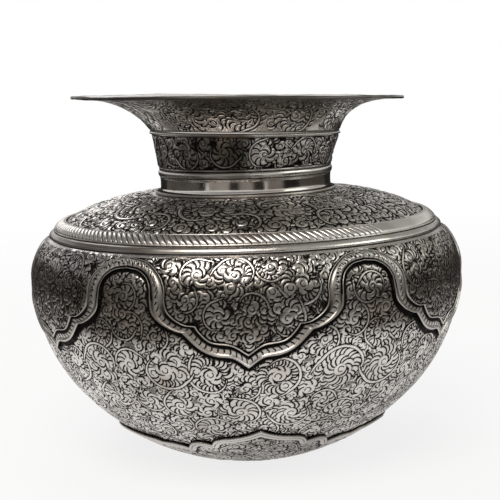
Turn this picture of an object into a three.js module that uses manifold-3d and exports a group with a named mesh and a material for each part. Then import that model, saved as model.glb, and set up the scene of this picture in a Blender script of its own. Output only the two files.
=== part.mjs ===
// A wide-bellied metal water pot of raised sheet, with soldered rings and applied mouldings.
// Millimetres, +Z up. The origin is the middle of the base, on the table.
// Angles are in degrees about the axis, counted from the front, which faces -Y.
import * as THREE from "three";
import { mergeVertices } from "three/addons/utils/BufferGeometryUtils.js";
import Module from "manifold-3d";

const wasm = await Module();
wasm.setup();

// Sheet, clearance and facets
const sheet = 1.2;
const clearance = 0.3;
const facets = 48;

// Belly: outline of the bowl and the shoulder
const bellyDiameter = 200;
const widestHeight = 83;
const baseFlatDiameter = 70;
const baseRiseAngle = 21;
const baseSweep = 44.5;
const bowlFullness = 34.4;
const shoulderFullness = 19.8;
const shoulderSweep = 37;
const shoulderSlope = 2;
const shoulderTopHeight = 121.5;
const seamDrop = 15.5;
const bowlSteps = 11;
const shoulderSteps = 8;

// Rings at the seam, measured down from the top of the shoulder
const ropeTopDrop = 11.1;
const ropeBottomDrop = 14.8;
const ropeProud = 1.9;
const beadTopDrop = 15.8;
const beadBottomDrop = 17.5;
const beadProud = 1.1;

// Neck and its rings
const neckDiameter = 77.4;
const footRingWidth = 3.4;
const footRingHeight = 1.4;
const collarThickness = 1.3;
const collarHeight = 6.8;
const topBeadThickness = 1.9;
const topBeadHeight = 2.9;
const bandFootDiameter = 80.4;
const bandHeadDiameter = 87.8;
const bandHeight = 16;
const ridgeHeight = 1.8;
const ridgeThickness = 0.9;
const ridgeStandOff = 0.6;
const ringEase = 0.4;

// Mouth
const mouthDiameter = 154.6;
const flareHeight = 16.9;
const flareFootAngle = 67;
const flareFootReach = 8;
const flareLipAngle = 2.5;
const flareLipReach = 20.4;
const flareSteps = 7;
const rimWireDiameter = 1.5;

// Straps: six lengths of moulding that run from arch crown to arch crown round a pendant
const strapCount = 6;
const strapWidth = 5.8;
const strapEdgeHeight = 0.6;
const strapCrownHeight = 1.4;
const strapCrownShare = 0.6;
const archHalfAngle = 9.1;
const archSpringRise = 3.5;
const archCrownRise = 17.2;
const archSteps = 4;

// Centre line of half a pendant: angle from its middle, and height above the widest line
const pendantOutline = [
  [0, -21.1],
  [3.6, -16.9],
  [8, -15.6],
  [11.3, -12.4],
  [13.4, -7.9],
  [16.8, -5.9],
  [19.6, -2.9],
];

// Base medallion: lobes cut in plan, one under each pendant
const lobeTipRadius = 76;
const lobeShoulderRadius = 70.5;
const lobeShoulderAngle = 14.5;
const lobeCuspRadius = 60;
const lobeTurn = 3;
const lobeSteps = 5;
const lobeSideSwell = 3;
const lobeTipSwell = 2.5;
const medallionSteps = 7;

// Heights and radii that follow from the sizes above
const bowlFloorHeight = sheet + clearance;
const seamHeight = shoulderTopHeight - seamDrop;
const neckRadius = neckDiameter / 2;
const boreRadius = neckRadius - sheet;
const ringBoreRadius = neckRadius + clearance;
const collarFootHeight = shoulderTopHeight + footRingHeight;
const collarTopHeight = collarFootHeight + collarHeight;
const bandFootHeight = collarTopHeight + topBeadHeight + clearance;
const bandHeadHeight = bandFootHeight + bandHeight;
const lipHeight = bandHeadHeight + flareHeight;
const lipRadius = mouthDiameter / 2 - rimWireDiameter - clearance;
const shoulderSeatRadius = ringBoreRadius + footRingWidth + clearance;
const lobeAngle = 360 / strapCount;
const ridgeBoreRadius = bandHeadDiameter / 2 + clearance + ridgeStandOff;

// Materials
const finishes = {
  engraved: { color: 0x8d8a86, roughness: 0.38, metalness: 1 },
  polished: { color: 0xb4b0a8, roughness: 0.22, metalness: 1 },
  rope: { color: 0x9c978f, roughness: 0.32, metalness: 1 },
  moulding: { color: 0xa19c96, roughness: 0.3, metalness: 1 },
};

const pot = new THREE.Group();

// Adds one named piece with its finish.
function addPiece(name, geometry, finish) {
  const mesh = new THREE.Mesh(geometry, new THREE.MeshStandardMaterial(finishes[finish]));
  mesh.name = name;
  pot.add(mesh);
}

// A point at a distance and an angle in degrees from a start point, in the plane of an outline.
function reach(x, y, distance, degrees) {
  const turn = THREE.MathUtils.degToRad(degrees);
  return new THREE.Vector2(x + distance * Math.cos(turn), y + distance * Math.sin(turn));
}

// The belly's outside as two curves that meet at the widest line, x the radius and y the height.
const bowlCurve = new THREE.CubicBezierCurve(
  new THREE.Vector2(baseFlatDiameter / 2, bowlFloorHeight),
  reach(baseFlatDiameter / 2, bowlFloorHeight, baseSweep, baseRiseAngle),
  new THREE.Vector2(bellyDiameter / 2, widestHeight - bowlFullness),
  new THREE.Vector2(bellyDiameter / 2, widestHeight),
);
const shoulderCurve = new THREE.CubicBezierCurve(
  new THREE.Vector2(bellyDiameter / 2, widestHeight),
  new THREE.Vector2(bellyDiameter / 2, widestHeight + shoulderFullness),
  reach(shoulderSeatRadius, shoulderTopHeight, shoulderSweep, -shoulderSlope),
  new THREE.Vector2(shoulderSeatRadius, shoulderTopHeight),
);

// Where a curve that only rises reaches a height.
function shareAtHeight(curve, height) {
  let low = 0;
  let high = 1;
  while (high - low > 1e-7) {
    const middle = (low + high) / 2;
    if (curve.getPoint(middle).y < height) low = middle;
    else high = middle;
  }
  return (low + high) / 2;
}

// The outward normal of a curve that runs upwards.
function outward(curve, share) {
  const tangent = curve.getTangent(share);
  return new THREE.Vector2(tangent.y, -tangent.x);
}

// A point beside a curve, at a distance along its outward normal.
function beside(curve, share, distance) {
  return curve.getPoint(share).addScaledVector(outward(curve, share), distance);
}

// The radius and the outward normal of the belly at a height.
function bellyAt(height) {
  const curve = height < widestHeight ? bowlCurve : shoulderCurve;
  const share = shareAtHeight(curve, height);
  return { radius: curve.getPoint(share).x, normal: outward(curve, share) };
}

// Equal shares from one value to another, both ends included.
function shares(from, to, steps) {
  return Array.from({ length: steps + 1 }, (_, i) => from + ((to - from) * i) / steps);
}

// A solid of revolution about Z from an outline of radius and height, which closes on itself.
function turned(outline) {
  const closed = [...outline, outline[0]];
  const geometry = new THREE.LatheGeometry(closed, facets);
  geometry.rotateX(Math.PI / 2);
  return geometry;
}

// A solid of revolution whose outline starts and ends on the axis.
function turnedFromAxis(outline) {
  const geometry = new THREE.LatheGeometry(outline, facets);
  geometry.rotateX(Math.PI / 2);
  return geometry;
}

function point(radius, height) {
  return new THREE.Vector2(radius, height);
}

// The inside radius of the belly's sheet at a height.
function insideRadius(height) {
  const { radius, normal } = bellyAt(height);
  return radius - sheet / normal.x;
}

// Bowl: from its flat floor up to the seam, in one sheet
function lowerBowl() {
  const seamShare = shareAtHeight(shoulderCurve, seamHeight);
  const upperSteps = Math.round(bowlSteps / 3);
  const outside = [
    ...shares(0, 1, bowlSteps).map((s) => beside(bowlCurve, s, 0)),
    ...shares(0, seamShare, upperSteps).slice(1).map((s) => beside(shoulderCurve, s, 0)),
  ];
  const inside = [
    ...shares(0, 1, bowlSteps).map((s) => beside(bowlCurve, s, -sheet)),
    ...shares(0, seamShare, upperSteps).slice(1, -1).map((s) => beside(shoulderCurve, s, -sheet)),
    point(insideRadius(seamHeight), seamHeight),
  ];
  const floorTop = point(0, bowlFloorHeight + sheet);
  const floorEdge = point(inside[0].x, bowlFloorHeight + sheet);
  return turnedFromAxis([
    point(0, bowlFloorHeight),
    ...outside,
    ...inside.slice(1).reverse(),
    floorEdge,
    floorTop,
  ]);
}

// Shoulder: from the seam up to the flat seat of the neck
function shoulderDome() {
  const seamShare = shareAtHeight(shoulderCurve, seamHeight);
  const steps = shares(seamShare, 1, shoulderSteps);
  const outside = steps.map((s) => beside(shoulderCurve, s, 0));
  const inside = steps.slice(1).map((s) => beside(shoulderCurve, s, -sheet));
  return turned([
    ...outside,
    point(boreRadius, shoulderTopHeight),
    point(boreRadius, shoulderTopHeight - sheet),
    ...inside.reverse(),
    point(insideRadius(seamHeight), seamHeight),
  ]);
}

// A half-round moulding that lies on the belly between two heights, clear of it by the clearance.
function bellyRing(lowHeight, highHeight, proud) {
  const low = shareAtHeight(shoulderCurve, lowHeight);
  const high = shareAtHeight(shoulderCurve, highHeight);
  const at = (share, distance) => beside(shoulderCurve, low + (high - low) * share, distance);
  return turned([
    at(0, clearance),
    at(0.05, clearance + proud * 0.55),
    at(0.3, clearance + proud),
    at(0.7, clearance + proud),
    at(0.95, clearance + proud * 0.55),
    at(1, clearance),
    at(0.5, clearance),
  ]);
}

// A plain ring with eased outside edges.
function easedRing(bore, outer, low, high) {
  return turned([
    point(bore, low),
    point(outer - ringEase, low),
    point(outer, low + ringEase),
    point(outer, high - ringEase),
    point(outer - ringEase, high),
    point(bore, high),
  ]);
}

// Neck: a plain tube inside the collar, which steps out above it to the tapered band
function neckTube() {
  const footRadius = bandFootDiameter / 2;
  const headRadius = bandHeadDiameter / 2;
  return turned([
    point(boreRadius, shoulderTopHeight),
    point(neckRadius, shoulderTopHeight),
    point(neckRadius, bandFootHeight),
    point(footRadius, bandFootHeight),
    point(headRadius, bandHeadHeight),
    point(headRadius - sheet, bandHeadHeight),
    point(footRadius - sheet, bandFootHeight + sheet),
    point(boreRadius, bandFootHeight),
  ]);
}

// Mouth: a horn that opens from the neck's head to a nearly level lip
function mouthFlare() {
  const headRadius = bandHeadDiameter / 2;
  const lipEnd = reach(lipRadius, lipHeight, flareLipReach, 180 + flareLipAngle);
  const horn = new THREE.CubicBezierCurve(
    point(headRadius, bandHeadHeight),
    reach(headRadius, bandHeadHeight, flareFootReach, flareFootAngle),
    lipEnd,
    point(lipRadius, lipHeight - sheet),
  );
  const steps = shares(0, 1, flareSteps);
  const outside = steps.map((s) => beside(horn, s, 0));
  const inside = steps.slice(1).map((s) => beside(horn, s, -sheet));
  return turned([...outside, ...inside.reverse(), point(headRadius - sheet, bandHeadHeight)]);
}

// The wire that binds the lip, beside its edge
function rimWire() {
  const radius = rimWireDiameter / 2;
  const middle = point(lipRadius + clearance + radius, lipHeight - sheet / 2);
  return turned(shares(0, 300, 5).map((angle) => reach(middle.x, middle.y, radius, angle)));
}

// The centre line of one strap as angle and height, from arch crown to arch crown
function strapLine() {
  const half = pendantOutline.map(([angle, rise]) => [angle, widestHeight + rise]);
  const spring = widestHeight + archSpringRise;
  const rise = archCrownRise - archSpringRise;
  for (const share of shares(0, 1, archSteps)) {
    const turn = (share * Math.PI) / 2;
    const angle = lobeAngle / 2 - archHalfAngle * Math.cos(turn);
    half.push([angle, spring + rise * Math.sin(turn)]);
  }
  const endGap = THREE.MathUtils.radToDeg(clearance / bellyDiameter);
  half[half.length - 1][0] -= endGap;
  const [lastAngle, lastHeight] = half[half.length - 2];
  const beyondCrown = [lobeAngle - lastAngle, lastHeight];
  half.push(beyondCrown);
  const mirrored = half.slice(1).map(([angle, height]) => [-angle, height]);
  return [...mirrored.reverse(), ...half];
}

// A place on the belly's skin, with its outward normal.
function onBelly(angle, height, distance) {
  const { radius, normal } = bellyAt(height);
  const turn = THREE.MathUtils.degToRad(angle);
  const across = new THREE.Vector3(Math.sin(turn), -Math.cos(turn), 0);
  const out = across.clone().multiplyScalar(normal.x).setZ(normal.y);
  const place = across.multiplyScalar(radius).setZ(height);
  return { place: place.addScaledVector(out, distance), out };
}

// One strap: a moulding section carried along its line on the belly and mitred at each corner.
// The first and the last point of the line lie past its ends and only give the end faces their tilt.
function strap(middleAngle) {
  const line = strapLine().map(([angle, height]) => onBelly(middleAngle + angle, height, clearance));
  const half = strapWidth / 2;
  const section = [
    [-half, 0],
    [half, 0],
    [half, strapEdgeHeight],
    [half * strapCrownShare, strapCrownHeight],
    [-half * strapCrownShare, strapCrownHeight],
    [-half, strapEdgeHeight],
  ];
  const vertices = [];
  for (let i = 1; i + 1 < line.length; i += 1) {
    const { place, out } = line[i];
    const inward = place.clone().sub(line[i - 1].place).normalize();
    const onward = line[i + 1].place.clone().sub(place).normalize();
    const along = inward.clone().add(onward).normalize();
    const mitre = 1 / along.dot(onward);
    const side = new THREE.Vector3().crossVectors(along, out).normalize();
    for (const [across, up] of section) {
      const vertex = place.clone().addScaledVector(side, across * mitre).addScaledVector(out, up);
      vertices.push(vertex.x, vertex.y, vertex.z);
    }
  }
  return sweptGeometry(vertices, section.length);
}

// Joins rings of vertices into one closed surface with flat ends.
function sweptGeometry(vertices, sides) {
  const rings = vertices.length / 3 / sides;
  const faces = [];
  for (let ring = 0; ring + 1 < rings; ring += 1) {
    for (let side = 0; side < sides; side += 1) {
      const a = ring * sides + side;
      const b = ring * sides + ((side + 1) % sides);
      faces.push(a, a + sides, b, b, a + sides, b + sides);
    }
  }
  const last = (rings - 1) * sides;
  for (let side = 1; side + 1 < sides; side += 1) {
    faces.push(0, side, side + 1);
    faces.push(last, last + side + 1, last + side);
  }
  const geometry = new THREE.BufferGeometry();
  geometry.setAttribute("position", new THREE.Float32BufferAttribute(vertices, 3));
  geometry.setIndex(faces);
  return geometry;
}

// Turns a closed geometry into a solid that can be cut.
function solidOf(geometry) {
  const bare = geometry.clone();
  bare.deleteAttribute("normal");
  bare.deleteAttribute("uv");
  const merged = mergeVertices(bare, 1e-4);
  const vertProperties = merged.attributes.position.array;
  const triVerts = new Uint32Array(merged.index.array);
  return new wasm.Manifold(new wasm.Mesh({ numProp: 3, vertProperties, triVerts }));
}

// Turns a solid back into a geometry.
function geometryOf(solid) {
  const mesh = solid.getMesh();
  const geometry = new THREE.BufferGeometry();
  geometry.setAttribute("position", new THREE.BufferAttribute(mesh.vertProperties, 3));
  geometry.setIndex(new THREE.BufferAttribute(mesh.triVerts, 1));
  return geometry;
}

// A place in plan at a radius and an angle from the front.
function inPlan(radius, angle) {
  return reach(0, 0, radius, angle - 90 + lobeTurn);
}

// The medallion's outline in plan: each lobe has an ogee tip, two shoulders and a cusp on each side
function medallionOutline() {
  const shape = new THREE.Shape();
  const cuspAngle = lobeAngle / 2;
  const first = inPlan(lobeCuspRadius, -cuspAngle);
  shape.moveTo(first.x, first.y);
  const curveTo = (swell, end) => shape.quadraticCurveTo(swell.x, swell.y, end.x, end.y);
  const sideAngle = (cuspAngle + lobeShoulderAngle) / 2 + lobeSideSwell;
  const tipAngle = lobeShoulderAngle / 3;
  const tipRadius = lobeShoulderRadius + lobeTipSwell;
  for (let lobe = 0; lobe < strapCount; lobe += 1) {
    const middle = lobe * lobeAngle;
    curveTo(inPlan(lobeShoulderRadius, middle - sideAngle),
      inPlan(lobeShoulderRadius, middle - lobeShoulderAngle));
    curveTo(inPlan(tipRadius, middle - tipAngle), inPlan(lobeTipRadius, middle));
    curveTo(inPlan(tipRadius, middle + tipAngle),
      inPlan(lobeShoulderRadius, middle + lobeShoulderAngle));
    curveTo(inPlan(lobeShoulderRadius, middle + sideAngle),
      inPlan(lobeCuspRadius, middle + cuspAngle));
  }
  return shape;
}

// Base medallion: a dished plate under the bowl, cut to its lobes, which the pot stands on
function baseMedallion() {
  const steps = shares(0, 1, bowlSteps).slice(0, medallionSteps + 1);
  const outside = steps.map((s) => beside(bowlCurve, s, clearance + sheet));
  const inside = steps.map((s) => beside(bowlCurve, s, clearance));
  const plate = turnedFromAxis([
    point(0, 0),
    point(baseFlatDiameter / 2 - clearance, 0),
    ...outside,
    ...inside.reverse(),
    point(0, sheet),
  ]);
  const cutterHeight = widestHeight;
  const cutter = new THREE.ExtrudeGeometry(medallionOutline(), {
    depth: cutterHeight,
    curveSegments: lobeSteps,
    bevelEnabled: false,
  });
  cutter.translate(0, 0, -cutterHeight / 2);
  return geometryOf(solidOf(plate).intersect(solidOf(cutter)));
}

addPiece("base_medallion", baseMedallion(), "moulding");
addPiece("lower_bowl", lowerBowl(), "engraved");
addPiece("shoulder_dome", shoulderDome(), "engraved");
addPiece(
  "seam_bead",
  bellyRing(shoulderTopHeight - beadBottomDrop, shoulderTopHeight - beadTopDrop, beadProud),
  "polished",
);
addPiece(
  "rope_ring",
  bellyRing(shoulderTopHeight - ropeBottomDrop, shoulderTopHeight - ropeTopDrop, ropeProud),
  "rope",
);
addPiece(
  "collar_foot_ring",
  easedRing(ringBoreRadius, ringBoreRadius + footRingWidth, shoulderTopHeight, collarFootHeight),
  "polished",
);
addPiece(
  "neck_collar",
  easedRing(ringBoreRadius, ringBoreRadius + collarThickness, collarFootHeight, collarTopHeight),
  "polished",
);
addPiece(
  "collar_top_bead",
  easedRing(
    ringBoreRadius,
    ringBoreRadius + topBeadThickness,
    collarTopHeight,
    collarTopHeight + topBeadHeight,
  ),
  "polished",
);
addPiece("neck_tube", neckTube(), "engraved");
addPiece(
  "neck_ridge_ring",
  easedRing(
    ridgeBoreRadius,
    ridgeBoreRadius + ridgeThickness,
    bandHeadHeight - ridgeHeight / 2,
    bandHeadHeight + ridgeHeight / 2,
  ),
  "polished",
);
addPiece("mouth_flare", mouthFlare(), "engraved");
addPiece("rim_wire", rimWire(), "polished");
for (let i = 0; i < strapCount; i += 1) {
  addPiece(`strap_${i + 1}`, strap(i * lobeAngle), "moulding");
}

export default pot;
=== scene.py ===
"""A chased metal water pot with a flared mouth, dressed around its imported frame."""

import logging
import math
from dataclasses import dataclass, replace
from enum import Enum

import bpy
import numpy as np
from mathutils import Matrix, Vector


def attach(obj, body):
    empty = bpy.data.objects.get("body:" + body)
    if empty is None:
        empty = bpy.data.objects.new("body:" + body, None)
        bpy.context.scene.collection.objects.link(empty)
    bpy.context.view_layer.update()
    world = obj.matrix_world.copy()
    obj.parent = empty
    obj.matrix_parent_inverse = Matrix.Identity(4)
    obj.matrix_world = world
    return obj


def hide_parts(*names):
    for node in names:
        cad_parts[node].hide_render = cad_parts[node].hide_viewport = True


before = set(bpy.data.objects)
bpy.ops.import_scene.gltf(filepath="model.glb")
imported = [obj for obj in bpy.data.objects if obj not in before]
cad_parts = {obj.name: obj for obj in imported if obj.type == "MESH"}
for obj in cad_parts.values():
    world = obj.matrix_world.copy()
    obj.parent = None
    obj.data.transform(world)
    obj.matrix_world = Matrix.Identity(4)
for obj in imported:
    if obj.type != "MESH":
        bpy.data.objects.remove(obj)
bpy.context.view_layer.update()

TAU = 2 * math.pi
MM = 0.001
FAR = 9.0
LOBES = 6
UV_NAME = "OFBake"
UV_MARGIN = 0.004
# The groove mark darkens the metal: patina in cut lines and hollows, and painted shadow along the strap on
# the belly and in the strap's channel.
MARKS = ("groove", "rise", "inner")
PLAIN = (0.0, 0.3, 0.0)
INSIDE = (0.0, 0.0, 1.0)
SEAM = (1.0, 0.0, 0.0)

log = logging.getLogger("pot")


class Slot(Enum):
    """The record's material slots."""

    SHEET = "engraved_sheet"
    BAND = "polished_band"
    ROPE = "rope_moulding"
    MOULDING = "raised_moulding"


def ease(low: float, high: float, value: np.ndarray) -> np.ndarray:
    """Goes smoothly from 0 to 1 as a value goes from low to high."""
    share = np.clip((value - low) / (high - low), 0.0, 1.0)
    return share * share * (3 - 2 * share)


def dome(share: np.ndarray) -> np.ndarray:
    """Gives a quarter round that rises from 0 at share 0 to 1 at share 1."""
    return half_round(1 - np.clip(share, 0, 1))


def half_round(offset: np.ndarray) -> np.ndarray:
    """Gives the height of a half round, 1 at offset 0 and 0 from offset 1 on."""
    return np.sqrt(np.clip(1 - offset**2, 0, 1))


def turns_round(columns: int) -> np.ndarray:
    """Gives equal turns round the pot in radians, from the front on."""
    return np.arange(columns) * TAU / columns


def polar(radius: np.ndarray, turn: np.ndarray) -> np.ndarray:
    """Gives the places at a distance and a turn from the origin, one row each."""
    return np.column_stack((radius * np.cos(turn), radius * np.sin(turn)))


def measured(line: np.ndarray) -> np.ndarray:
    """Gives the distance of each of a line's points from its start."""
    return np.concatenate(([0], np.cumsum(np.hypot(*np.diff(line, axis=0).T))))


def cut_at(line: np.ndarray, along: np.ndarray, stops: np.ndarray) -> np.ndarray:
    """Gives the places on a line, whose points lie at distances along it, at some stops."""
    return np.column_stack([np.interp(stops, along, line[:, k]) for k in (0, 1)])


def bezier(controls: list, steps: int = 400) -> np.ndarray:
    """Draws a cubic curve.

    Args:
        controls: Its four control points.
        steps: How many points it gets.

    Returns:
        Its points, one row each.
    """
    t = np.linspace(0, 1, steps)[:, None]
    a, b, c, d = (np.array(point, float) for point in controls)
    return (1 - t) ** 3 * a + 3 * t * (1 - t) ** 2 * b + 3 * t * t * (1 - t) * c + t**3 * d


def reach(point: tuple, distance: float, degrees: float) -> tuple:
    """Gives the point at a distance and a slope from another one."""
    turn = math.radians(degrees)
    return (point[0] + distance * math.cos(turn), point[1] + distance * math.sin(turn))


def flow_line(points: list, step: float, steps: int = 40) -> np.ndarray:
    """A smooth line through points in the plane, cut into equal steps.

    Args:
        points: The places it passes, in mm.
        step: The length of one step in mm.
        steps: How many places are worked out between two points first.

    Returns:
        The places along the line, one row each.
    """
    p = np.array(points, float)
    p = np.vstack((2 * p[0] - p[1], p, 2 * p[-1] - p[-2]))
    knots = np.concatenate(([0], np.cumsum(np.sqrt(np.hypot(*np.diff(p, axis=0).T)))))
    out = []
    for i in range(1, len(p) - 2):
        t = np.linspace(knots[i], knots[i + 1], steps)[:, None]
        k = knots[i - 1:i + 3]
        rows = p[i - 1:i + 3]
        for spans in (((0, 1), (1, 2), (2, 3)), ((0, 2), (1, 3)), ((1, 2),)):
            rows = [
                (k[b] - t) / (k[b] - k[a]) * rows[j] + (t - k[a]) / (k[b] - k[a]) * rows[j + 1]
                for j, (a, b) in enumerate(spans)
            ]
        out.append(rows[0][:-1])
    line = np.vstack(out + [p[-2:-1]])
    along = measured(line)
    count = max(int(round(along[-1] / step)), 2)
    return cut_at(line, along, np.linspace(0, along[-1], count + 1))


class Profile:
    """An outline of radius and height that runs up the outside of a turned piece."""

    def __init__(self, points: np.ndarray) -> None:
        """Measures the outline.

        Args:
            points: Its radius and height in mm, one row each.
        """
        self.points = points
        self.arc = measured(points)
        apart = 1e-9
        slope = np.gradient(points, self.arc + np.arange(len(points)) * apart, axis=0)
        slope /= np.hypot(slope[:, 0], slope[:, 1])[:, None]
        self.outward = np.column_stack((slope[:, 1], -slope[:, 0]))

    def arc_at(self, height: float) -> float:
        """Gives the distance along the outline of a height."""
        return float(np.interp(height, self.points[:, 1], self.arc))

    def radius(self, arc: np.ndarray) -> np.ndarray:
        """Gives the radius at a distance along the outline."""
        return np.interp(arc, self.arc, self.points[:, 0])

    def place(self, angle: np.ndarray, arc: np.ndarray, proud: np.ndarray) -> np.ndarray:
        """Points on the turned skin or beside it.

        Args:
            angle: Turns about the axis in radians, 0 at the front.
            arc: Distances along the outline in mm.
            proud: Distances out from the skin in mm.

        Returns:
            The points in mm, with x, y and z last.
        """
        angle, arc, proud = np.broadcast_arrays(angle, arc, proud)
        out_r = np.interp(arc, self.arc, self.outward[:, 0])
        out_z = np.interp(arc, self.arc, self.outward[:, 1])
        radius = self.radius(arc) + proud * out_r
        height = np.interp(arc, self.arc, self.points[:, 1]) + proud * out_z
        return np.stack((radius * np.sin(angle), -radius * np.cos(angle), height), axis=-1)


BOWL_START = (35.0, 1.5)
WIDEST = (100.0, 83.0)
SEAT = (42.7, 121.5)
SEAM_HEIGHT = 106.0
SHEET = 1.2
BOWL = bezier([BOWL_START, reach(BOWL_START, 44.5, 21), (100.0, 48.6), WIDEST])
SHOULDER = bezier([WIDEST, (100.0, 102.8), reach(SEAT, 37, -2), SEAT])
BELLY = Profile(np.vstack((BOWL, SHOULDER[1:])))


@dataclass
class Spot:
    """A round place on a chased band that one motif takes.

    Its angle is its middle's turn about the pot in radians, its arc the middle's distance along
    the outline and its size its radius, both in mm. Its hand is 1 where it winds anticlockwise
    and -1 where clockwise, it starts at a turn in radians, and its height is about 1.
    """

    angle: float
    arc: float
    size: float
    hand: int = 1
    start: float = 0.0
    height: float = 1.0


@dataclass
class Patch:
    """A small window on a chased band, with its places in mm from a middle."""

    spot: tuple
    x: np.ndarray
    y: np.ndarray


@dataclass
class Chasing:
    """Chased relief on a band of the pot, laid out flat: rows climb the skin, columns go round.

    Later strokes lie over earlier ones, as leaves do. The arc gives the rows' distances along
    the outline and the ring their radii, in mm, and chance starts at the seed. The rest is the
    graver's way of working: the pitch of a leaf's scales and the widest of them in mm, the
    share of scrolls that wind in one spiral, how thick a stem is for its scroll's size and how
    far it wraps round in turns, and how much a cut swells behind a scale and thins ahead of it.
    """

    arc: np.ndarray
    ring: np.ndarray
    columns: int
    seed: int
    pitch: float = 2.0
    widest: float = 2.7
    wound: float = 0.35
    stem: float = 0.048
    wrap: float = 0.62
    swelling: float = 0.14
    thinning: float = 0.16

    def __post_init__(self) -> None:
        """Sets up the bare band."""
        shape = (len(self.arc), self.columns)
        self.lift = np.zeros(shape, np.float32)
        self.cut = np.full(shape, FAR, np.float32)
        self.bare = np.ones(shape, np.float32)
        self.chance = np.random.default_rng(self.seed)

    def patch(self, angle: float, arc: float, extent: float) -> Patch | None:
        """Opens a window round a place.

        Args:
            angle: The place's turn in radians.
            arc: The place's distance along the outline in mm.
            extent: How far the window reaches in mm.

        Returns:
            The window, or nothing where it lies off the band.
        """
        low, high = np.searchsorted(self.arc, (arc - extent, arc + extent))
        if high <= low:
            return None
        step = TAU / self.columns
        ring = self.ring[low:high]
        half = min(int(extent / (step * ring.min())) + 1, self.columns // 2 - 1)
        middle = int(round(angle / step))
        cols = np.arange(middle - half, middle + half + 1)
        x = (cols * step - angle)[None, :] * ring[:, None]
        y = np.broadcast_to((self.arc[low:high] - arc)[:, None], x.shape)
        return Patch((np.arange(low, high)[:, None], (cols % self.columns)[None, :]), x, y)

    def turn_by(self, arc: float, distance: float) -> float:
        """Gives the angle that a distance round the band takes up."""
        return distance / float(np.interp(arc, self.arc, self.ring))

    def beside(self, spot: Spot, x: float, y: float, **changes: float) -> Spot:
        """Gives a changed copy of a spot, some mm round the band and along it from there."""
        angle = spot.angle + self.turn_by(spot.arc, x)
        return replace(spot, angle=angle, arc=spot.arc + y, **changes)

    def lay(self, patch: Patch, distance: np.ndarray, lift: np.ndarray, line: np.ndarray | float = FAR,
            spread: np.ndarray | float = 0.0) -> None:
        """Lays one stroke over what is there.

        Args:
            patch: The stroke's window.
            distance: The distance outside the stroke in mm, less than 0 inside it.
            lift: Its height, about 1 at its top.
            line: The distance to the graver's lines on it in mm.
            spread: How much wider the cut along its edge is than others in mm.
        """
        inside = distance < 0
        edge = np.abs(distance) - spread
        spot = patch.spot
        over = np.minimum(edge, line)
        self.cut[spot] = np.where(inside, over, np.minimum(self.cut[spot], edge))
        self.lift[spot] = np.where(inside, lift, self.lift[spot])
        self.bare[spot] = np.where(inside, 0.0, self.bare[spot])

    def scale(self, spot: Spot) -> None:
        """Lays one round scale of a leaf; the next one leaves only a crescent of it in view.

        Args:
            spot: The scale's place. It grows the way it starts, and its hand is 0 unless it is
                the curled head of a leaf.
        """
        patch = self.patch(spot.angle, spot.arc, spot.size + 0.5)
        if patch is None:
            return
        radius, heading = spot.size, spot.start
        away = np.hypot(patch.x, patch.y)
        ahead = (patch.x * math.cos(heading) + patch.y * math.sin(heading)) / radius
        line = FAR
        if spot.hand:
            side = heading + spot.hand * 0.5 * math.pi
            ex = patch.x - 0.16 * radius * math.cos(side)
            ey = patch.y - 0.16 * radius * math.sin(side)
            turned = np.mod(np.arctan2(ey, ex) - heading - spot.hand * 2.6, TAU) - math.pi
            line = np.where(np.abs(turned) > 2.3, FAR, np.abs(np.hypot(ex, ey) - 0.46 * radius))
        lift = spot.height * dome((radius - away) / (0.62 * radius)) * (0.76 + 0.24 * ahead)
        behind = np.clip(-1.15 * ahead, 0, 1)
        self.lay(patch, away - radius, lift, line, self.swelling * behind - self.thinning * (1 - behind))

    def leaf(self, spot: Spot, path: np.ndarray, radii: np.ndarray) -> None:
        """Lays a leaf: scales along a path, each over the last, and a curled head.

        Args:
            spot: Where the path starts from.
            path: The middles of the scales in mm from there.
            radii: Their radii in mm.
        """
        last = len(path) - 1
        for i, ((x, y), radius) in enumerate(zip(path, radii)):
            ahead = path[min(i + 1, last)] - path[max(i - 1, 0)]
            tall = spot.height * (0.75 + 0.25 * i / max(last, 1))
            hand = spot.hand if i == last else 0
            heading = math.atan2(ahead[1], ahead[0])
            self.scale(self.beside(spot, x, y, size=radius, start=heading, height=tall, hand=hand))

    def sprig(self, spot: Spot, count: int, bend: float) -> None:
        """Lays a short curved leaf.

        Args:
            spot: Its root; it starts the way the spot does, and its head has the spot's size.
            count: How many scales it has.
            bend: How far it turns in radians.
        """
        share = np.linspace(0, 1, count)
        turn = spot.start + bend * share
        step = self.pitch * (0.85 + 0.3 * share)
        x, y = (np.concatenate(([0.0], np.cumsum(f(turn[:-1]) * step[:-1]))) for f in (np.cos, np.sin))
        radii = spot.size * (0.55 + 0.45 * share**0.7)
        self.leaf(replace(spot, hand=1 if bend > 0 else -1), np.column_stack((x, y)), radii)

    def sweep(self, spot: Spot, path: np.ndarray, half: np.ndarray) -> None:
        """Lays a rounded band along a path.

        Args:
            spot: Where the path starts from.
            path: The band's middle line in mm from there.
            half: Half its width at each point in mm.
        """
        patch = self.patch(spot.angle, spot.arc, np.abs(path).max() + half.max() + 0.3)
        if patch is None:
            return
        best = np.full(patch.x.shape, FAR * FAR)
        width = np.ones(patch.x.shape)
        for (px, py), wide in zip(path, half):
            distance = np.hypot(patch.x - px, patch.y - py) - wide
            near = distance < best
            best[near] = distance[near]
            width[near] = wide
        self.lay(patch, best, spot.height * (0.4 + 0.6 * dome(-best / width)))

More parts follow.
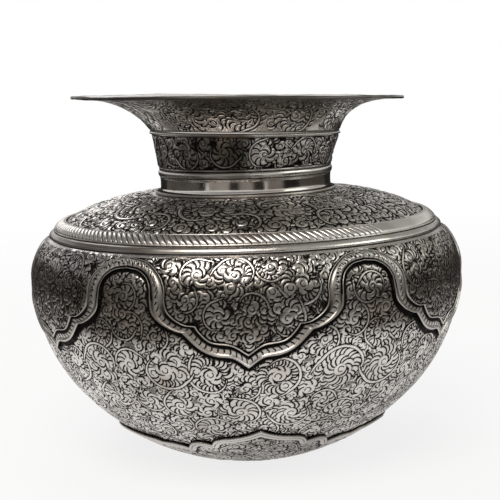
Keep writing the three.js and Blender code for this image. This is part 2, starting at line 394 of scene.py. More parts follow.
    def wind(self, spot: Spot, rings: tuple = (0.62, 0.0), turns: float = 0.9,
             scales: tuple = (0.40, 0.50)) -> None:
        """Lays a leaf along a spiral, as a rule a small one that winds round its curled head.

        Args:
            spot: The spiral's place.
            rings: Its first and last radius, as shares of the size.
            turns: How many turns it makes.
            scales: The first and last scale's radius, as shares of the size.
        """
        t = np.linspace(0, 1, 400)
        radius = spot.size * (rings[0] + (rings[1] - rings[0]) * t**1.6)
        line = polar(radius, spot.start + spot.hand * TAU * turns * t)
        along = measured(line)
        count = max(int(along[-1] / self.pitch), 3)
        stops = np.linspace(0, along[-1], count)
        radii = spot.size * (scales[0] + (scales[1] - scales[0]) * np.interp(stops, along, t))
        radii = np.minimum(radii, self.widest) * (1 + 0.10 * np.sin(np.arange(count) * 2.4 + spot.start))
        self.leaf(spot, cut_at(line, along, stops), radii)

    def scroll(self, spot: Spot) -> None:
        """Lays a scroll: a stem that winds round a leaf, which winds in to its curled head.

        Args:
            spot: The scroll's place.
        """
        chance, size, hand = self.chance, spot.size, spot.hand
        large = size > 8.6
        inner = spot.start + hand * chance.uniform(0.2, 0.8)
        if chance.uniform() < self.wound:
            turns = 1.0 + 0.2 * (size > 6.0) + 0.6 * large
            self.wind(replace(spot, start=inner), (0.66, 0.05), turns, (0.33, 0.33))
        else:
            leaves = 3 + (size > 6.2) + large
            for i in range(leaves):
                side = inner + TAU * (i + chance.uniform(-0.12, 0.12)) / leaves
                away = size * 0.66
                root = self.beside(
                    spot, away * math.cos(side), away * math.sin(side), start=side + hand * 1.25,
                    size=min(size * 0.30, self.widest), height=spot.height * 0.9,
                )
                self.sprig(root, 5 + large, hand * 2.3)
            heart = replace(spot, size=size * 0.62, start=inner + 1.0)
            self.wind(heart, (0.52, 0.0), 0.8 + 0.4 * large)
        turns = np.linspace(0, self.wrap, int(TAU * size * self.wrap / 0.45))
        along = turns / self.wrap
        radius = size * np.interp(along, (0.0, 0.14, 0.74, 1.0), (1.20, 0.98, 0.93, 0.70))
        path = polar(radius, spot.start + hand * TAU * turns)
        half = (size * self.stem + 0.30) * np.interp(along, (0, 0.15, 0.7, 1), (0.6, 1.0, 0.9, 0.4))
        self.sweep(replace(spot, height=spot.height * 0.9), path, half)

    def softened(self, height: np.ndarray) -> np.ndarray:
        """Rounds off the sharpest steps of a relief, as wear does.

        Args:
            height: The height of each place in mm.

        Returns:
            The new heights.
        """
        around = (height + (np.roll(height, 1, 1) + np.roll(height, -1, 1)) / 2) / 2
        padded = np.pad(around, ((1, 1), (0, 0)), "edge")
        return (padded[:-2] + 2 * padded[1:-1] + padded[2:]) / 4

    def grooves(self, deep: float, shallow: float) -> np.ndarray:
        """Gives how deep the cuts are, 1 within one distance from them and 0 from another on."""
        return 1 - ease(deep, shallow, self.cut)

    def ground(self, far: float = 0.6) -> np.ndarray:
        """Gives where the bare ground shows, 1 from a distance of all cuts on."""
        return self.bare * ease(0.1, far, self.cut)

    def near_line(self, angles: np.ndarray, arcs: np.ndarray, extent: float) -> np.ndarray:
        """Measures how far each place is from a line, as far as it matters.

        Args:
            angles: The line's turns in radians.
            arcs: Its distances along the outline in mm.
            extent: The furthest distance that is told apart in mm.

        Returns:
            The distances in mm, one for each place on the band.
        """
        away = np.full(self.cut.shape, extent, np.float32)
        for angle, arc in zip(angles, arcs):
            patch = self.patch(angle, arc, extent)
            if patch is not None:
                away[patch.spot] = np.minimum(away[patch.spot], np.hypot(patch.x, patch.y))
        return away


class Plan:
    """Plans where the motifs go: the big scrolls first, then what fits between them."""

    def __init__(self, chasing: Chasing, grid: float = 0.8) -> None:
        """Sets up an empty plan.

        Args:
            chasing: The band that it is for.
            grid: The spacing of its places in mm.
        """
        arc = chasing.arc
        self.chance = chasing.chance
        self.rows = np.arange(arc[0] + grid / 2, arc[-1], grid)
        self.ring = np.interp(self.rows, arc, chasing.ring)
        self.columns = int(TAU * self.ring.max() / grid)
        self.angles = (np.arange(self.columns) + 0.5) * TAU / self.columns
        room = np.minimum(self.rows - arc[0], arc[-1] - self.rows)
        self.room = room[:, None] + np.zeros((1, self.columns))
        self.scrolls: list[Spot] = []
        self.fills: list[Spot] = []

    def take(self, angle: float, arc: float, size: float, margin: float = 8.0) -> None:
        """Takes a round place out of the room that is left.

        Args:
            angle: Its turn in radians.
            arc: Its distance along the outline in mm.
            size: Its radius in mm.
            margin: How far from its edge the room is measured in mm.
        """
        low, high = np.searchsorted(self.rows, (arc - size - margin, arc + size + margin))
        if high <= low:
            return
        step = TAU / self.columns
        half = min(int((size + margin) / (step * self.ring[low:high].min())) + 1, self.columns // 2 - 1)
        middle = int(angle / step)
        cols = np.arange(middle - half, middle + half + 1)
        x = ((cols + 0.5) * step - angle)[None, :] * self.ring[low:high, None]
        away = np.hypot(x, self.rows[low:high, None] - arc) - size
        spot = np.ix_(np.arange(low, high), cols % self.columns)
        self.room[spot] = np.minimum(self.room[spot], away)

    def add_scrolls(self, spots: list[Spot], near: float = 8.0) -> None:
        """Places big scrolls; each that is near an earlier one winds the other way.

        Args:
            spots: Where they go; their hands and starts are worked out here.
            near: The widest gap in mm that still counts as near.
        """
        for spot in spots:
            self.take(spot.angle, spot.arc, spot.size)
            spot.hand = 1
            gaps = []
            for other in self.scrolls:
                dx, dy = self.offset(spot, other)
                gaps.append((math.hypot(dx, dy) - spot.size - other.size, -other.hand, math.atan2(-dy, -dx)))
            nearest = min(gaps, key=lambda gap: gap[0], default=(FAR,))
            if nearest[0] > near:
                spot.start = float(self.chance.uniform(0, TAU))
            else:
                _, spot.hand, spot.start = nearest
            self.scrolls.append(spot)

    def offset(self, spot: Spot, other: Spot) -> tuple[float, float]:
        """Gives the way from one spot to another in mm, round the band and along it."""
        turn = math.remainder(spot.angle - other.angle, TAU)
        return turn * float(np.interp(other.arc, self.rows, self.ring)), spot.arc - other.arc

    def owner(self, angle: float, arc: float) -> int:
        """Finds the big scroll whose edge is nearest to a place.

        Args:
            angle: The place's turn in radians.
            arc: Its distance along the outline in mm.

        Returns:
            The scroll's number.
        """
        spots = self.table
        ring = float(np.interp(arc, self.rows, self.ring))
        dx = (np.mod(angle - spots[:, 0] + math.pi, TAU) - math.pi) * ring
        return int(np.argmin(np.hypot(dx, arc - spots[:, 1]) - spots[:, 2]))

    def fill(self, scrolls: tuple, tufts: tuple, least: float) -> None:
        """Fills the room that is left with smaller spots.

        Args:
            scrolls: The smallest and largest radius of a small scroll in mm.
            tufts: The smallest and largest radius of a tuft in mm.
            least: The smallest radius of any spot in mm.
        """
        self.table = np.array([(s.angle, s.arc, s.size) for s in self.scrolls])
        chance = self.chance
        while True:
            best = int(np.argmax(self.room))
            size = float(self.room.flat[best])
            if size < least:
                break
            if size > scrolls[0]:
                size = chance.uniform(scrolls[0], min(size, scrolls[1]))
            elif size > tufts[0]:
                size = chance.uniform(tufts[0], min(size, tufts[1]))
            cells = np.flatnonzero(self.room >= size * 0.999)
            cell = int(cells[chance.integers(len(cells))]) if len(cells) else best
            row, column = divmod(cell, self.columns)
            self.take(self.angles[column], self.rows[row], size)
            self.fills.append(Spot(float(self.angles[column]), float(self.rows[row]), size))
        self.fills.sort(key=lambda s: s.size)


@dataclass(frozen=True)
class Foliage:
    """How one field of scrolling foliage is filled, in mm.

    The scrolls and tufts each have a smallest and a largest radius, and no motif is smaller
    than the least. The feather is the size of the short leaves underneath, 0 for none, and
    depth is how many rings of them lie within each big scroll.
    """

    scrolls: tuple = (5.6, 7.6)
    tufts: tuple = (3.0, 4.4)
    least: float = 2.6
    feather: float = 2.9
    depth: int = 1

    def carve(self, chasing: Chasing, plan: Plan, mask: np.ndarray | None = None) -> None:
        """Plans the small motifs and chases everything on the band.

        Args:
            chasing: The band to chase.
            plan: Its plan, with the big scrolls placed.
            mask: For each place of the band, whether the field covers it.
        """
        plan.fill(self.scrolls, self.tufts, self.least)
        if self.feather:
            self.under_layer(chasing, plan, mask)
        for spot in plan.fills:
            self.motif(chasing, plan, spot)
        for spot in plan.scrolls:
            chasing.scroll(replace(spot, size=spot.size * 1.03))

    def under_layer(self, chasing: Chasing, plan: Plan, mask: np.ndarray | None) -> None:
        """Covers the ground with rings of short leaves that sweep round each scroll.

        Args:
            chasing: The band to chase.
            plan: Its plan.
            mask: For each place of the band, whether the field covers it.
        """
        chance = chasing.chance
        pitch, outermost = self.feather * 1.25, 7
        for ring in range(outermost, -1 - self.depth, -1):
            for owner, spot in enumerate(plan.scrolls):
                away = spot.size + pitch * (ring + 0.35)
                if away < 1.0:
                    continue
                count = max(int(TAU * away / (self.feather * 2.1)), 3)
                for i in range(count):
                    side = TAU * (i + 0.5 * (ring % 2) + chance.uniform(-0.15, 0.15)) / count
                    arc = spot.arc + away * math.sin(side)
                    angle = spot.angle + chasing.turn_by(arc, away * math.cos(side))
                    if not self.covers(chasing, mask, angle, arc) or plan.owner(angle, arc) != owner:
                        continue
                    start = side + spot.hand * (1.0 + chance.uniform(-0.3, 0.3))
                    scales = int(chance.integers(3, 5))
                    size = self.feather * chance.uniform(0.66, 0.80)
                    chasing.sprig(Spot(angle, arc, size, start=start, height=0.8), scales, 1.9 * spot.hand)

    def covers(self, chasing: Chasing, mask: np.ndarray | None, angle: float, arc: float) -> bool:
        """Tells whether the field covers a place.

        Args:
            chasing: The band.
            mask: For each place of the band, whether the field covers it.
            angle: The place's turn in radians.
            arc: Its distance along the outline in mm.

        Returns:
            True where it does.
        """
        if not chasing.arc[0] < arc < chasing.arc[-1]:
            return False
        row = int(np.searchsorted(chasing.arc, arc)) - 1
        return mask is None or bool(mask[row, int(angle / TAU * chasing.columns) % chasing.columns])

    def motif(self, chasing: Chasing, plan: Plan, spot: Spot) -> None:
        """Chases the motif that suits a spot's size, after the big scroll next to it.

        Args:
            chasing: The band to chase.
            plan: Its plan.
            spot: The spot.
        """
        near = plan.scrolls[plan.owner(spot.angle, spot.arc)]
        dx, dy = plan.offset(spot, near)
        start = math.atan2(dy, dx) + math.pi + chasing.chance.uniform(-0.6, 0.6)
        motif = replace(spot, start=start, hand=-near.hand, height=0.9)
        if spot.size > self.scrolls[0] - 0.1:
            chasing.scroll(replace(motif, size=spot.size * 1.08))
        else:
            chasing.wind(replace(motif, size=spot.size * 1.2))


@dataclass
class Skin:
    """A closed skin in mm: rings of points in order along it, joined when it is made.

    Total is the length of its whole outline in mm, by which it is laid out in the surface map.
    Rings that follow a line lie on that outline, and a settled skin leans as the neck does.
    """

    total: float
    columns: int = 0
    line: Profile | None = None
    settled: bool = False

    def __post_init__(self) -> None:
        """Starts with no rings."""
        self.count = 0
        self.points: list[np.ndarray] = []
        self.marks: list[np.ndarray] = []
        self.stops: list[tuple] = []
        self.faces: dict[int, list] = {3: [], 4: []}
        self.maps: dict[int, list] = {3: [], 4: []}

    def add_points(self, points: np.ndarray, marks: tuple | np.ndarray) -> int:
        """Adds points.

        Args:
            points: The points in mm.
            marks: Their marks, one set or one for each.

        Returns:
            The number of the first.
        """
        first = self.count
        points = points.reshape(-1, 3)
        self.points.append(points)
        self.marks.append(np.broadcast_to(marks, (len(points), len(MARKS))))
        self.count += len(points)
        return first

    def add(self, points: np.ndarray, length: float, marks: tuple | np.ndarray = PLAIN) -> None:
        """Adds the next ring.

        Args:
            points: Its points in mm.
            length: Its distance along the skin in mm.
            marks: Its groove, rise and inner marks, one set or one for each point.
        """
        first = self.add_points(lean(points) if self.settled else points, marks)
        self.stops.append((first, len(points), length / self.total))

    def level(self, radius: float, height: float, length: float, marks: tuple = PLAIN,
              columns: int = 0) -> None:
        """Adds a level circle.

        Args:
            radius: Its radius in mm.
            height: Its height in mm.
            length: Its distance along the skin in mm.
            marks: Its marks.
            columns: How many points go round, where not as many as in the other rings.
        """
        self.add(circle(radius, height, columns or self.columns), length, marks)

    def follow(self, arcs: np.ndarray, proud: float | np.ndarray, start: float,
               marks: tuple | np.ndarray = PLAIN, way: int = 1) -> None:
        """Adds rings that follow the outline.

        Args:
            arcs: Their distances along the outline in mm.
            proud: How far they lie outside it in mm, in all or for each place.
            start: How far along the skin the outline starts in mm.
            marks: The marks, one set or one for each place.
            way: 1 up the outside or -1 down the inside.
        """
        angle = turns_round(self.columns)
        for i, arc in enumerate(arcs):
            lift = proud[i] if isinstance(proud, np.ndarray) else proud
            mark = marks[i] if isinstance(marks, np.ndarray) else marks
            self.add(self.line.place(angle, arc, lift), start + way * arc, mark)

    def add_faces(self, corners: list, places: list) -> None:
        """Adds faces of one kind.

        Args:
            corners: For each corner of the faces, its point numbers.
            places: For each corner, its two coordinates in the surface map.
        """
        kind = len(corners)
        self.faces[kind].append(np.stack(corners, axis=-1))
        spread = [np.stack(np.broadcast_arrays(*place), axis=-1) for place in places]
        self.maps[kind].append(np.stack(spread, axis=-2))

    def join(self, low: tuple, high: tuple) -> None:
        """Joins two rings, which have as many points, or twice or half as many.

        Args:
            low: The first ring's first point number, its count and its place in the map.
            high: The same for the next ring.
        """
        widens = low[1] < high[1]
        many, few = (high, low) if widens else (low, high)
        shapes = (
            ((many, 0), (many, 1), (few, 0)), ((many, 1), (few, 2), (few, 0)),
            ((many, 1), (many, 2), (few, 2)),
        )
        if low[1] == high[1]:
            shapes = (((low, 0), (low, 1), (high, 1), (high, 0)),)
        n = many[1]
        j = np.arange(few[1]) * (n // few[1])
        for shape in shapes:
            turned = shape[::-1] if widens else shape
            corners = [first + (j + step) * count // n % count for (first, count, _), step in turned]
            self.add_faces(corners, [((j + step) / n, along) for (_, _, along), step in turned])

    def cap(self, stop: tuple, points: np.ndarray, mark: np.ndarray, last: bool) -> None:
        """Closes an end at the axis.

        Args:
            stop: The end ring's first point number, its count and its place in the map.
            points: Its points.
            mark: The marks of the middle.
            last: Whether it is the last ring.
        """
        first, count, along = stop
        middle = self.add_points(points.mean(axis=0), mark)
        j = np.arange(count)
        edge = [first + j, first + (j + 1) % count]
        places = [(j / count, along), ((j + 1) / count, along)]
        if not last:
            edge.reverse()
            places.reverse()
        self.add_faces(edge + [np.full(count, middle)], places + [((j + 0.5) / count, float(last))])

    def make(self, name: str, finish: bpy.types.Material, closed: bool = True) -> bpy.types.Object:
        """Joins the rings and builds the piece.

        Args:
            name: The piece's name.
            finish: Its material.
            closed: Whether the last ring joins the first; if not, both ends close at the axis.

        Returns:
            The new object, in metres.
        """
        for low, high in zip(self.stops, self.stops[1:]):
            self.join(low, high)
        if closed:
            self.join(self.stops[-1], (*self.stops[0][:2], 1.0))
        else:
            ends = [(self.stops[i], self.points[i], self.marks[i][0], i < 0) for i in (0, -1)]
            for end in ends:
                self.cap(*end)
        kinds = [kind for kind in self.faces if self.faces[kind]]
        faces = [np.concatenate([f.reshape(-1, kind) for f in self.faces[kind]]) for kind in kinds]
        sizes = np.concatenate([np.full(len(block), kind) for kind, block in zip(kinds, faces)])
        corners = np.concatenate([block.ravel() for block in faces])
        places = np.concatenate([m.reshape(-1, 2) for kind in kinds for m in self.maps[kind]])
        mesh = bpy.data.meshes.new(name)
        mesh.vertices.add(self.count)
        mesh.vertices.foreach_set("co", (np.vstack(self.points) * MM).ravel())
        mesh.loops.add(len(corners))
        mesh.loops.foreach_set("vertex_index", corners.astype(np.int32))
        mesh.polygons.add(len(sizes))
        mesh.polygons.foreach_set("loop_start", (np.cumsum(sizes) - sizes).astype(np.int32))
        mesh.update(calc_edges=True)
        mesh.shade_smooth()
        layer = mesh.uv_layers.new(name=UV_NAME)
        places = UV_MARGIN + (1 - 2 * UV_MARGIN) * places
        layer.data.foreach_set("uv", places.astype(np.float32).ravel())
        for values, mark in zip(np.vstack(self.marks).T, MARKS):
            attribute = mesh.attributes.new(mark, "FLOAT", "POINT")
            attribute.data.foreach_set("value", values.astype(np.float32))
        mesh.materials.append(finish)
        return put(name, mesh)


def put(name: str, data: bpy.types.ID) -> bpy.types.Object:
    """Makes an object and puts it in the scene.

    Args:
        name: Its name.
        data: Its mesh, light or camera.

    Returns:
        The object.
    """
    made = bpy.data.objects.new(name, data)
    bpy.context.scene.collection.objects.link(made)
    return made


class Graph:
    """The nodes of a material or of the world, added by one method."""

    def __init__(self, holder: bpy.types.Material | bpy.types.World) -> None:
        """Starts from an empty node tree.

        Args:
            holder: What the nodes belong to.
        """
        holder.use_nodes = True
        self.holder = holder
        self.tree = holder.node_tree
        self.tree.nodes.clear()

    def node(self, kind: str, settings: dict | None = None, values: dict | None = None) -> bpy.types.Node:
        """Adds one node.

        Args:
            kind: The node's type.
            settings: Its own settings.
            values: Its sockets by name or number, each a plain value or a signal.

        Returns:
            The new node.
        """
        node = self.tree.nodes.new(kind)
        for name, value in (settings or {}).items():
            setattr(node, name, value)
        for name, value in (values or {}).items():
            if isinstance(value, Signal):
                self.tree.links.new(value.socket, node.inputs[name])
            else:
                node.inputs[name].default_value = value
        return node

    def signal(self, kind: str, output: str | int, settings: dict | None = None,
               values: dict | None = None) -> "Signal":
        """Adds one node and gives one of its outputs as a signal."""
        return Signal(self, self.node(kind, settings, values).outputs[output])

    def axes(self, place: "Signal") -> list["Signal"]:
        """Gives the three parts of a place."""
        split = self.node("ShaderNodeSeparateXYZ", None, {0: place})
        return [Signal(self, output) for output in split.outputs]

    def mix(self, factor: "Signal | float", first: object, second: object) -> "Signal":
        """Mixes two colours.

        Args:
            factor: How much of the second there is, 0 to 1.
            first: The first colour.
            second: The second colour.

        Returns:
            The mixed colour.
        """
        values = {0: factor}
        for name, value in ((6, first), (7, second)):
            values[name] = value if isinstance(value, Signal) else (*value, 1.0)
        return self.signal("ShaderNodeMix", 2, {"data_type": "RGBA", "clamp_factor": True}, values)

    def noise(self, place: "Signal", scale: float, detail: float, seed: float = 0.0) -> "Signal":
        """Gives noise with a mean of about a half."""
        values = {"Vector": place, "Scale": scale, "Detail": detail, "W": seed}
        return self.signal("ShaderNodeTexNoise", 0, {"noise_dimensions": "4D"}, values)

    def show(self, surface: "Signal", output: str = "Material") -> bpy.types.Material:
        """Ends the nodes in an output and gives what they belong to."""
        self.node("ShaderNodeOutput" + output, None, {"Surface": surface})
        return self.holder


class Signal:
    """A value on its way through a material; an expression on signals adds Math nodes."""

    def __init__(self, graph: Graph, socket: bpy.types.NodeSocket) -> None:
        """Wraps an output socket."""
        self.graph = graph
        self.socket = socket

    def math(self, operation: str, *others: object, clamp: bool = False) -> "Signal":
        """Adds one Math node that works on this and other values."""
        return self.graph.signal("ShaderNodeMath", 0, {"operation": operation, "use_clamp": clamp},
                                 dict(enumerate((self, *others))))

    def __add__(self, other: object) -> "Signal":
        """Adds a value."""
        return self.math("ADD", other)

    def __mul__(self, other: object) -> "Signal":
        """Multiplies by a value."""
        return self.math("MULTIPLY", other)

    def __sub__(self, other: object) -> "Signal":
        """Takes a value away."""
        return self.math("SUBTRACT", other)

    def __rsub__(self, other: float) -> "Signal":
        """Takes this away from a value."""
        return self.graph.signal("ShaderNodeMath", 0, {"operation": "SUBTRACT"}, {0: other, 1: self})

    __radd__ = __add__
    __rmul__ = __mul__

    def clamped(self) -> "Signal":
        """Keeps the value from 0 to 1."""
        return self.math("ADD", 0.0, clamp=True)

    def between(self, low: float, high: float) -> "Signal":
        """Goes smoothly from 0 to 1 as this goes from low to high."""
        return self.graph.signal("ShaderNodeMapRange", 0, {"interpolation_type": "SMOOTHSTEP"},
                                 {"Value": self, "From Min": low, "From Max": high})

    def within(self, low: float, high: float, soft: float) -> "Signal":
        """Gives 1 where this lies from low to high, and goes to 0 over a soft edge."""
        return self.between(low - soft, low) * (1 - self.between(high, high + soft))


@dataclass(frozen=True)
class AgedSilver:
    """White metal with tarnish on it: bright where hands rub, black in the graver's lines and in
    the shadows painted into the same mark.

    Zone and side entries paint light and shade: each makes the metal duller, as painted shade,
    or brighter where the amount is less than 0, as a painted highlight or reflection; a zone
    lies over the tarnish by height, a side by turn round the pot. A zone gives its lowest and
    highest height in mm, its soft edge and the amount, and a side its first and last turn in
    degrees from the front, its soft edge and the amount.
    """

    name: str
    bright: tuple = (0.76, 0.72, 0.68)
    dull: tuple = (0.172, 0.153, 0.133)
    warm: tuple = (0.38, 0.30, 0.245)
    oxide_and_shadow_black: tuple = (0.010, 0.009, 0.008)
    roughness: float = 0.26
    dullness: float = 0.34
    cloudy: float = 1.6
    stained: float = 0.9
    warmth: float = 0.45
    dimples: float = 0.14
    grain: float = 0.06
    patina_and_painted_light_zones: tuple = ()
    sides: tuple = ()
    seed: float = 0.0

    def build(self) -> bpy.types.Material:
        """Makes the material with all its nodes.

        Returns:
            The material.
        """
        g = Graph(bpy.data.materials.new(self.name))
        place = g.signal("ShaderNodeTexCoord", "Object")
        groove, rise, inner = (
            g.signal("ShaderNodeAttribute", "Fac", {"attribute_name": mark}) for mark in MARKS
        )
        cloud, stain, speck, hammer, grain = (
            g.noise(place, scale, detail, self.seed + step)
            for scale, detail, step in ((16, 4, 0), (55, 5, 3), (420, 3, 7), (150, 1, 11), (1400, 2, 13))
        )
        # Tarnish from clouds, stains and the dullness, with painted light and shade added by height and by
        # side below.
        tarnish_and_painted_light = (cloud - 0.5) * self.cloudy + (stain - 0.5) * self.stained + self.dullness
        across, deep, high = g.axes(place)
        # Painted light and shade by height: darker or brighter bands laid over the patina.
        for low, top, soft, amount in self.patina_and_painted_light_zones:
            tarnish_and_painted_light = tarnish_and_painted_light + high.within(low * MM, top * MM, soft * MM) * amount
        # Painted light and shade by side: duller or brighter as the pot turns from the front.
        turn = across.math("ARCTAN2", deep * -1.0) * math.degrees(1) + (cloud - 0.5) * 20.0
        for first, last, soft, amount in self.sides:
            tarnish_and_painted_light = tarnish_and_painted_light + turn.within(first, last, soft) * amount
        tarnish_and_painted_light = (tarnish_and_painted_light - rise * 0.30 + inner * 0.15).clamped()
        metal = g.mix(tarnish_and_painted_light, self.bright, self.dull)
        metal = g.mix(stain.between(0.5, 0.75) * self.warmth, metal, self.warm)
        # Black in the cut lines and hollows, which is patina, and along the painted shadows that share the
        # groove mark.
        oxide_and_shade = (groove + (speck - 0.5) * 0.5 * groove).between(0.15, 0.75)
        metal = g.mix(oxide_and_shade, metal, self.oxide_and_shadow_black)
        rough = self.roughness + tarnish_and_painted_light * 0.12 + (speck - 0.5) * 0.10 + oxide_and_shade * 0.35 - rise * 0.04
        relief = hammer * self.dimples + grain * self.grain
        bump = g.signal("ShaderNodeBump", 0, None, {"Strength": 0.35, "Distance": 0.0009, "Height": relief})
        return g.show(g.signal("ShaderNodeBsdfPrincipled", 0, None, {
            "Base Color": metal, "Metallic": 1.0, "Roughness": rough.clamped(), "Normal": bump,
        }))


def adopt(piece: bpy.types.Object, slot: Slot, node: str) -> None:
    """Hands a finished piece to the frame.

    Args:
        piece: The piece.
        slot: The record's material slot of the piece. It is not used.
        node: The frame's node that it stands for.
    """
    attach(piece, "root")
    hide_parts(node)
    log.info("%s: %d points", piece.name, len(piece.data.vertices))


def circle(radius: float, height: float, columns: int) -> np.ndarray:
    """Gives the points of a level circle in mm."""
    angle = turns_round(columns)
    return np.column_stack((radius * np.sin(angle), -radius * np.cos(angle), np.full(columns, height)))


def marks_of(dark: np.ndarray, rise: np.ndarray) -> np.ndarray:
    """Gives the marks of places on the outside, with their three parts last."""
    return np.stack((dark, rise, 0 * dark), -1)


def faded(arc: np.ndarray, low: float, high: float) -> np.ndarray:
    """Fades a relief out over some mm at its first and last row."""
    return ease(0, high, arc[-1] - arc)[:, None] * ease(0, low, arc - arc[0])[:, None]


@dataclass
class StrapLine:
    """The two edges of the raised strap, in degrees from a panel's middle and mm of height."""

    lower: tuple = (
        [(0, 59.0), (3.6, 63.3), (7.6, 64.3), (10.9, 66.9), (15.1, 73.9)],
        [(15.1, 73.9), (16.8, 74.6), (20.0, 77.4), (22.3, 81.5), (22.8, 86.0), (23.0, 91.0),
         (24.0, 94.6), (26.5, 97.4), (30, 98.3)],
    )
    upper: tuple = (
        [(0, 65.0), (3.6, 69.0), (8.5, 70.6), (10.9, 74.4), (11.8, 76.9)],
        [(11.8, 76.9), (14.2, 77.3), (16.6, 79.5), (18.3, 82.6), (18.9, 86.5), (19.0, 91.0),
         (20.5, 96.0), (24.6, 100.8), (30, 102.3)],
    )
    ring: float = 98.5
    step: float = 0.5

    def flat(self, points: list, step: float) -> np.ndarray:
        """Runs one smooth stretch through its points, in mm on the unrolled skin."""
        laid = [(math.radians(a) * self.ring, BELLY.arc_at(z)) for a, z in points]
        return flow_line(laid, step)

    def edge(self, stretches: tuple) -> np.ndarray:
        """Gives half of one edge, from the panel's tip to the arch's crown."""
        return np.vstack([self.flat(points, self.step) for points in stretches])

    def ladder(self, step: float) -> tuple[np.ndarray, np.ndarray]:
        """Gives both edges of half a strap, with as many places each.

        Args:
            step: The spacing of the places in mm.

        Returns:
            The lower and the upper edge, from the panel's tip to the arch's crown.
        """
        sides: tuple[list, list] = ([], [])
        for below, above in zip(self.lower, self.upper):
            pair = (self.flat(below, step), self.flat(above, step))
            stops = np.linspace(0, 1, max(len(line) for line in pair))
            for side, line in zip(sides, pair):
                laid = cut_at(line, np.linspace(0, 1, len(line)), stops)
                side.append(laid[1:] if side else laid)
        return np.vstack(sides[0]), np.vstack(sides[1])

    def places(self, stretches: tuple) -> tuple[np.ndarray, np.ndarray]:
        """Runs one edge all round the pot.

        Args:
            stretches: The edge's two stretches.

        Returns:
            Its turns in radians and its distances along the belly in mm.
        """
        half = self.edge(stretches)
        away = half[:, 0] / self.ring
        turns = [lobe * TAU / LOBES + side * away for lobe in range(LOBES) for side in (-1, 1)]
        return np.concatenate(turns), np.tile(half[:, 1], 2 * LOBES)

    def arc_over(self, stretches: tuple, angle: np.ndarray) -> np.ndarray:
        """Measures how far up the belly an edge lies at each turn.

        Args:
            stretches: The edge's two stretches.
            angle: The turns in radians.

        Returns:
            The distances in mm.
        """
        half = self.edge(stretches)
        lobe = TAU / LOBES
        local = np.abs(np.mod(angle + lobe / 2, lobe) - lobe / 2)
        order = np.argsort(half[:, 0], kind="stable")
        return np.interp(local * self.ring, half[order, 0], half[order, 1])


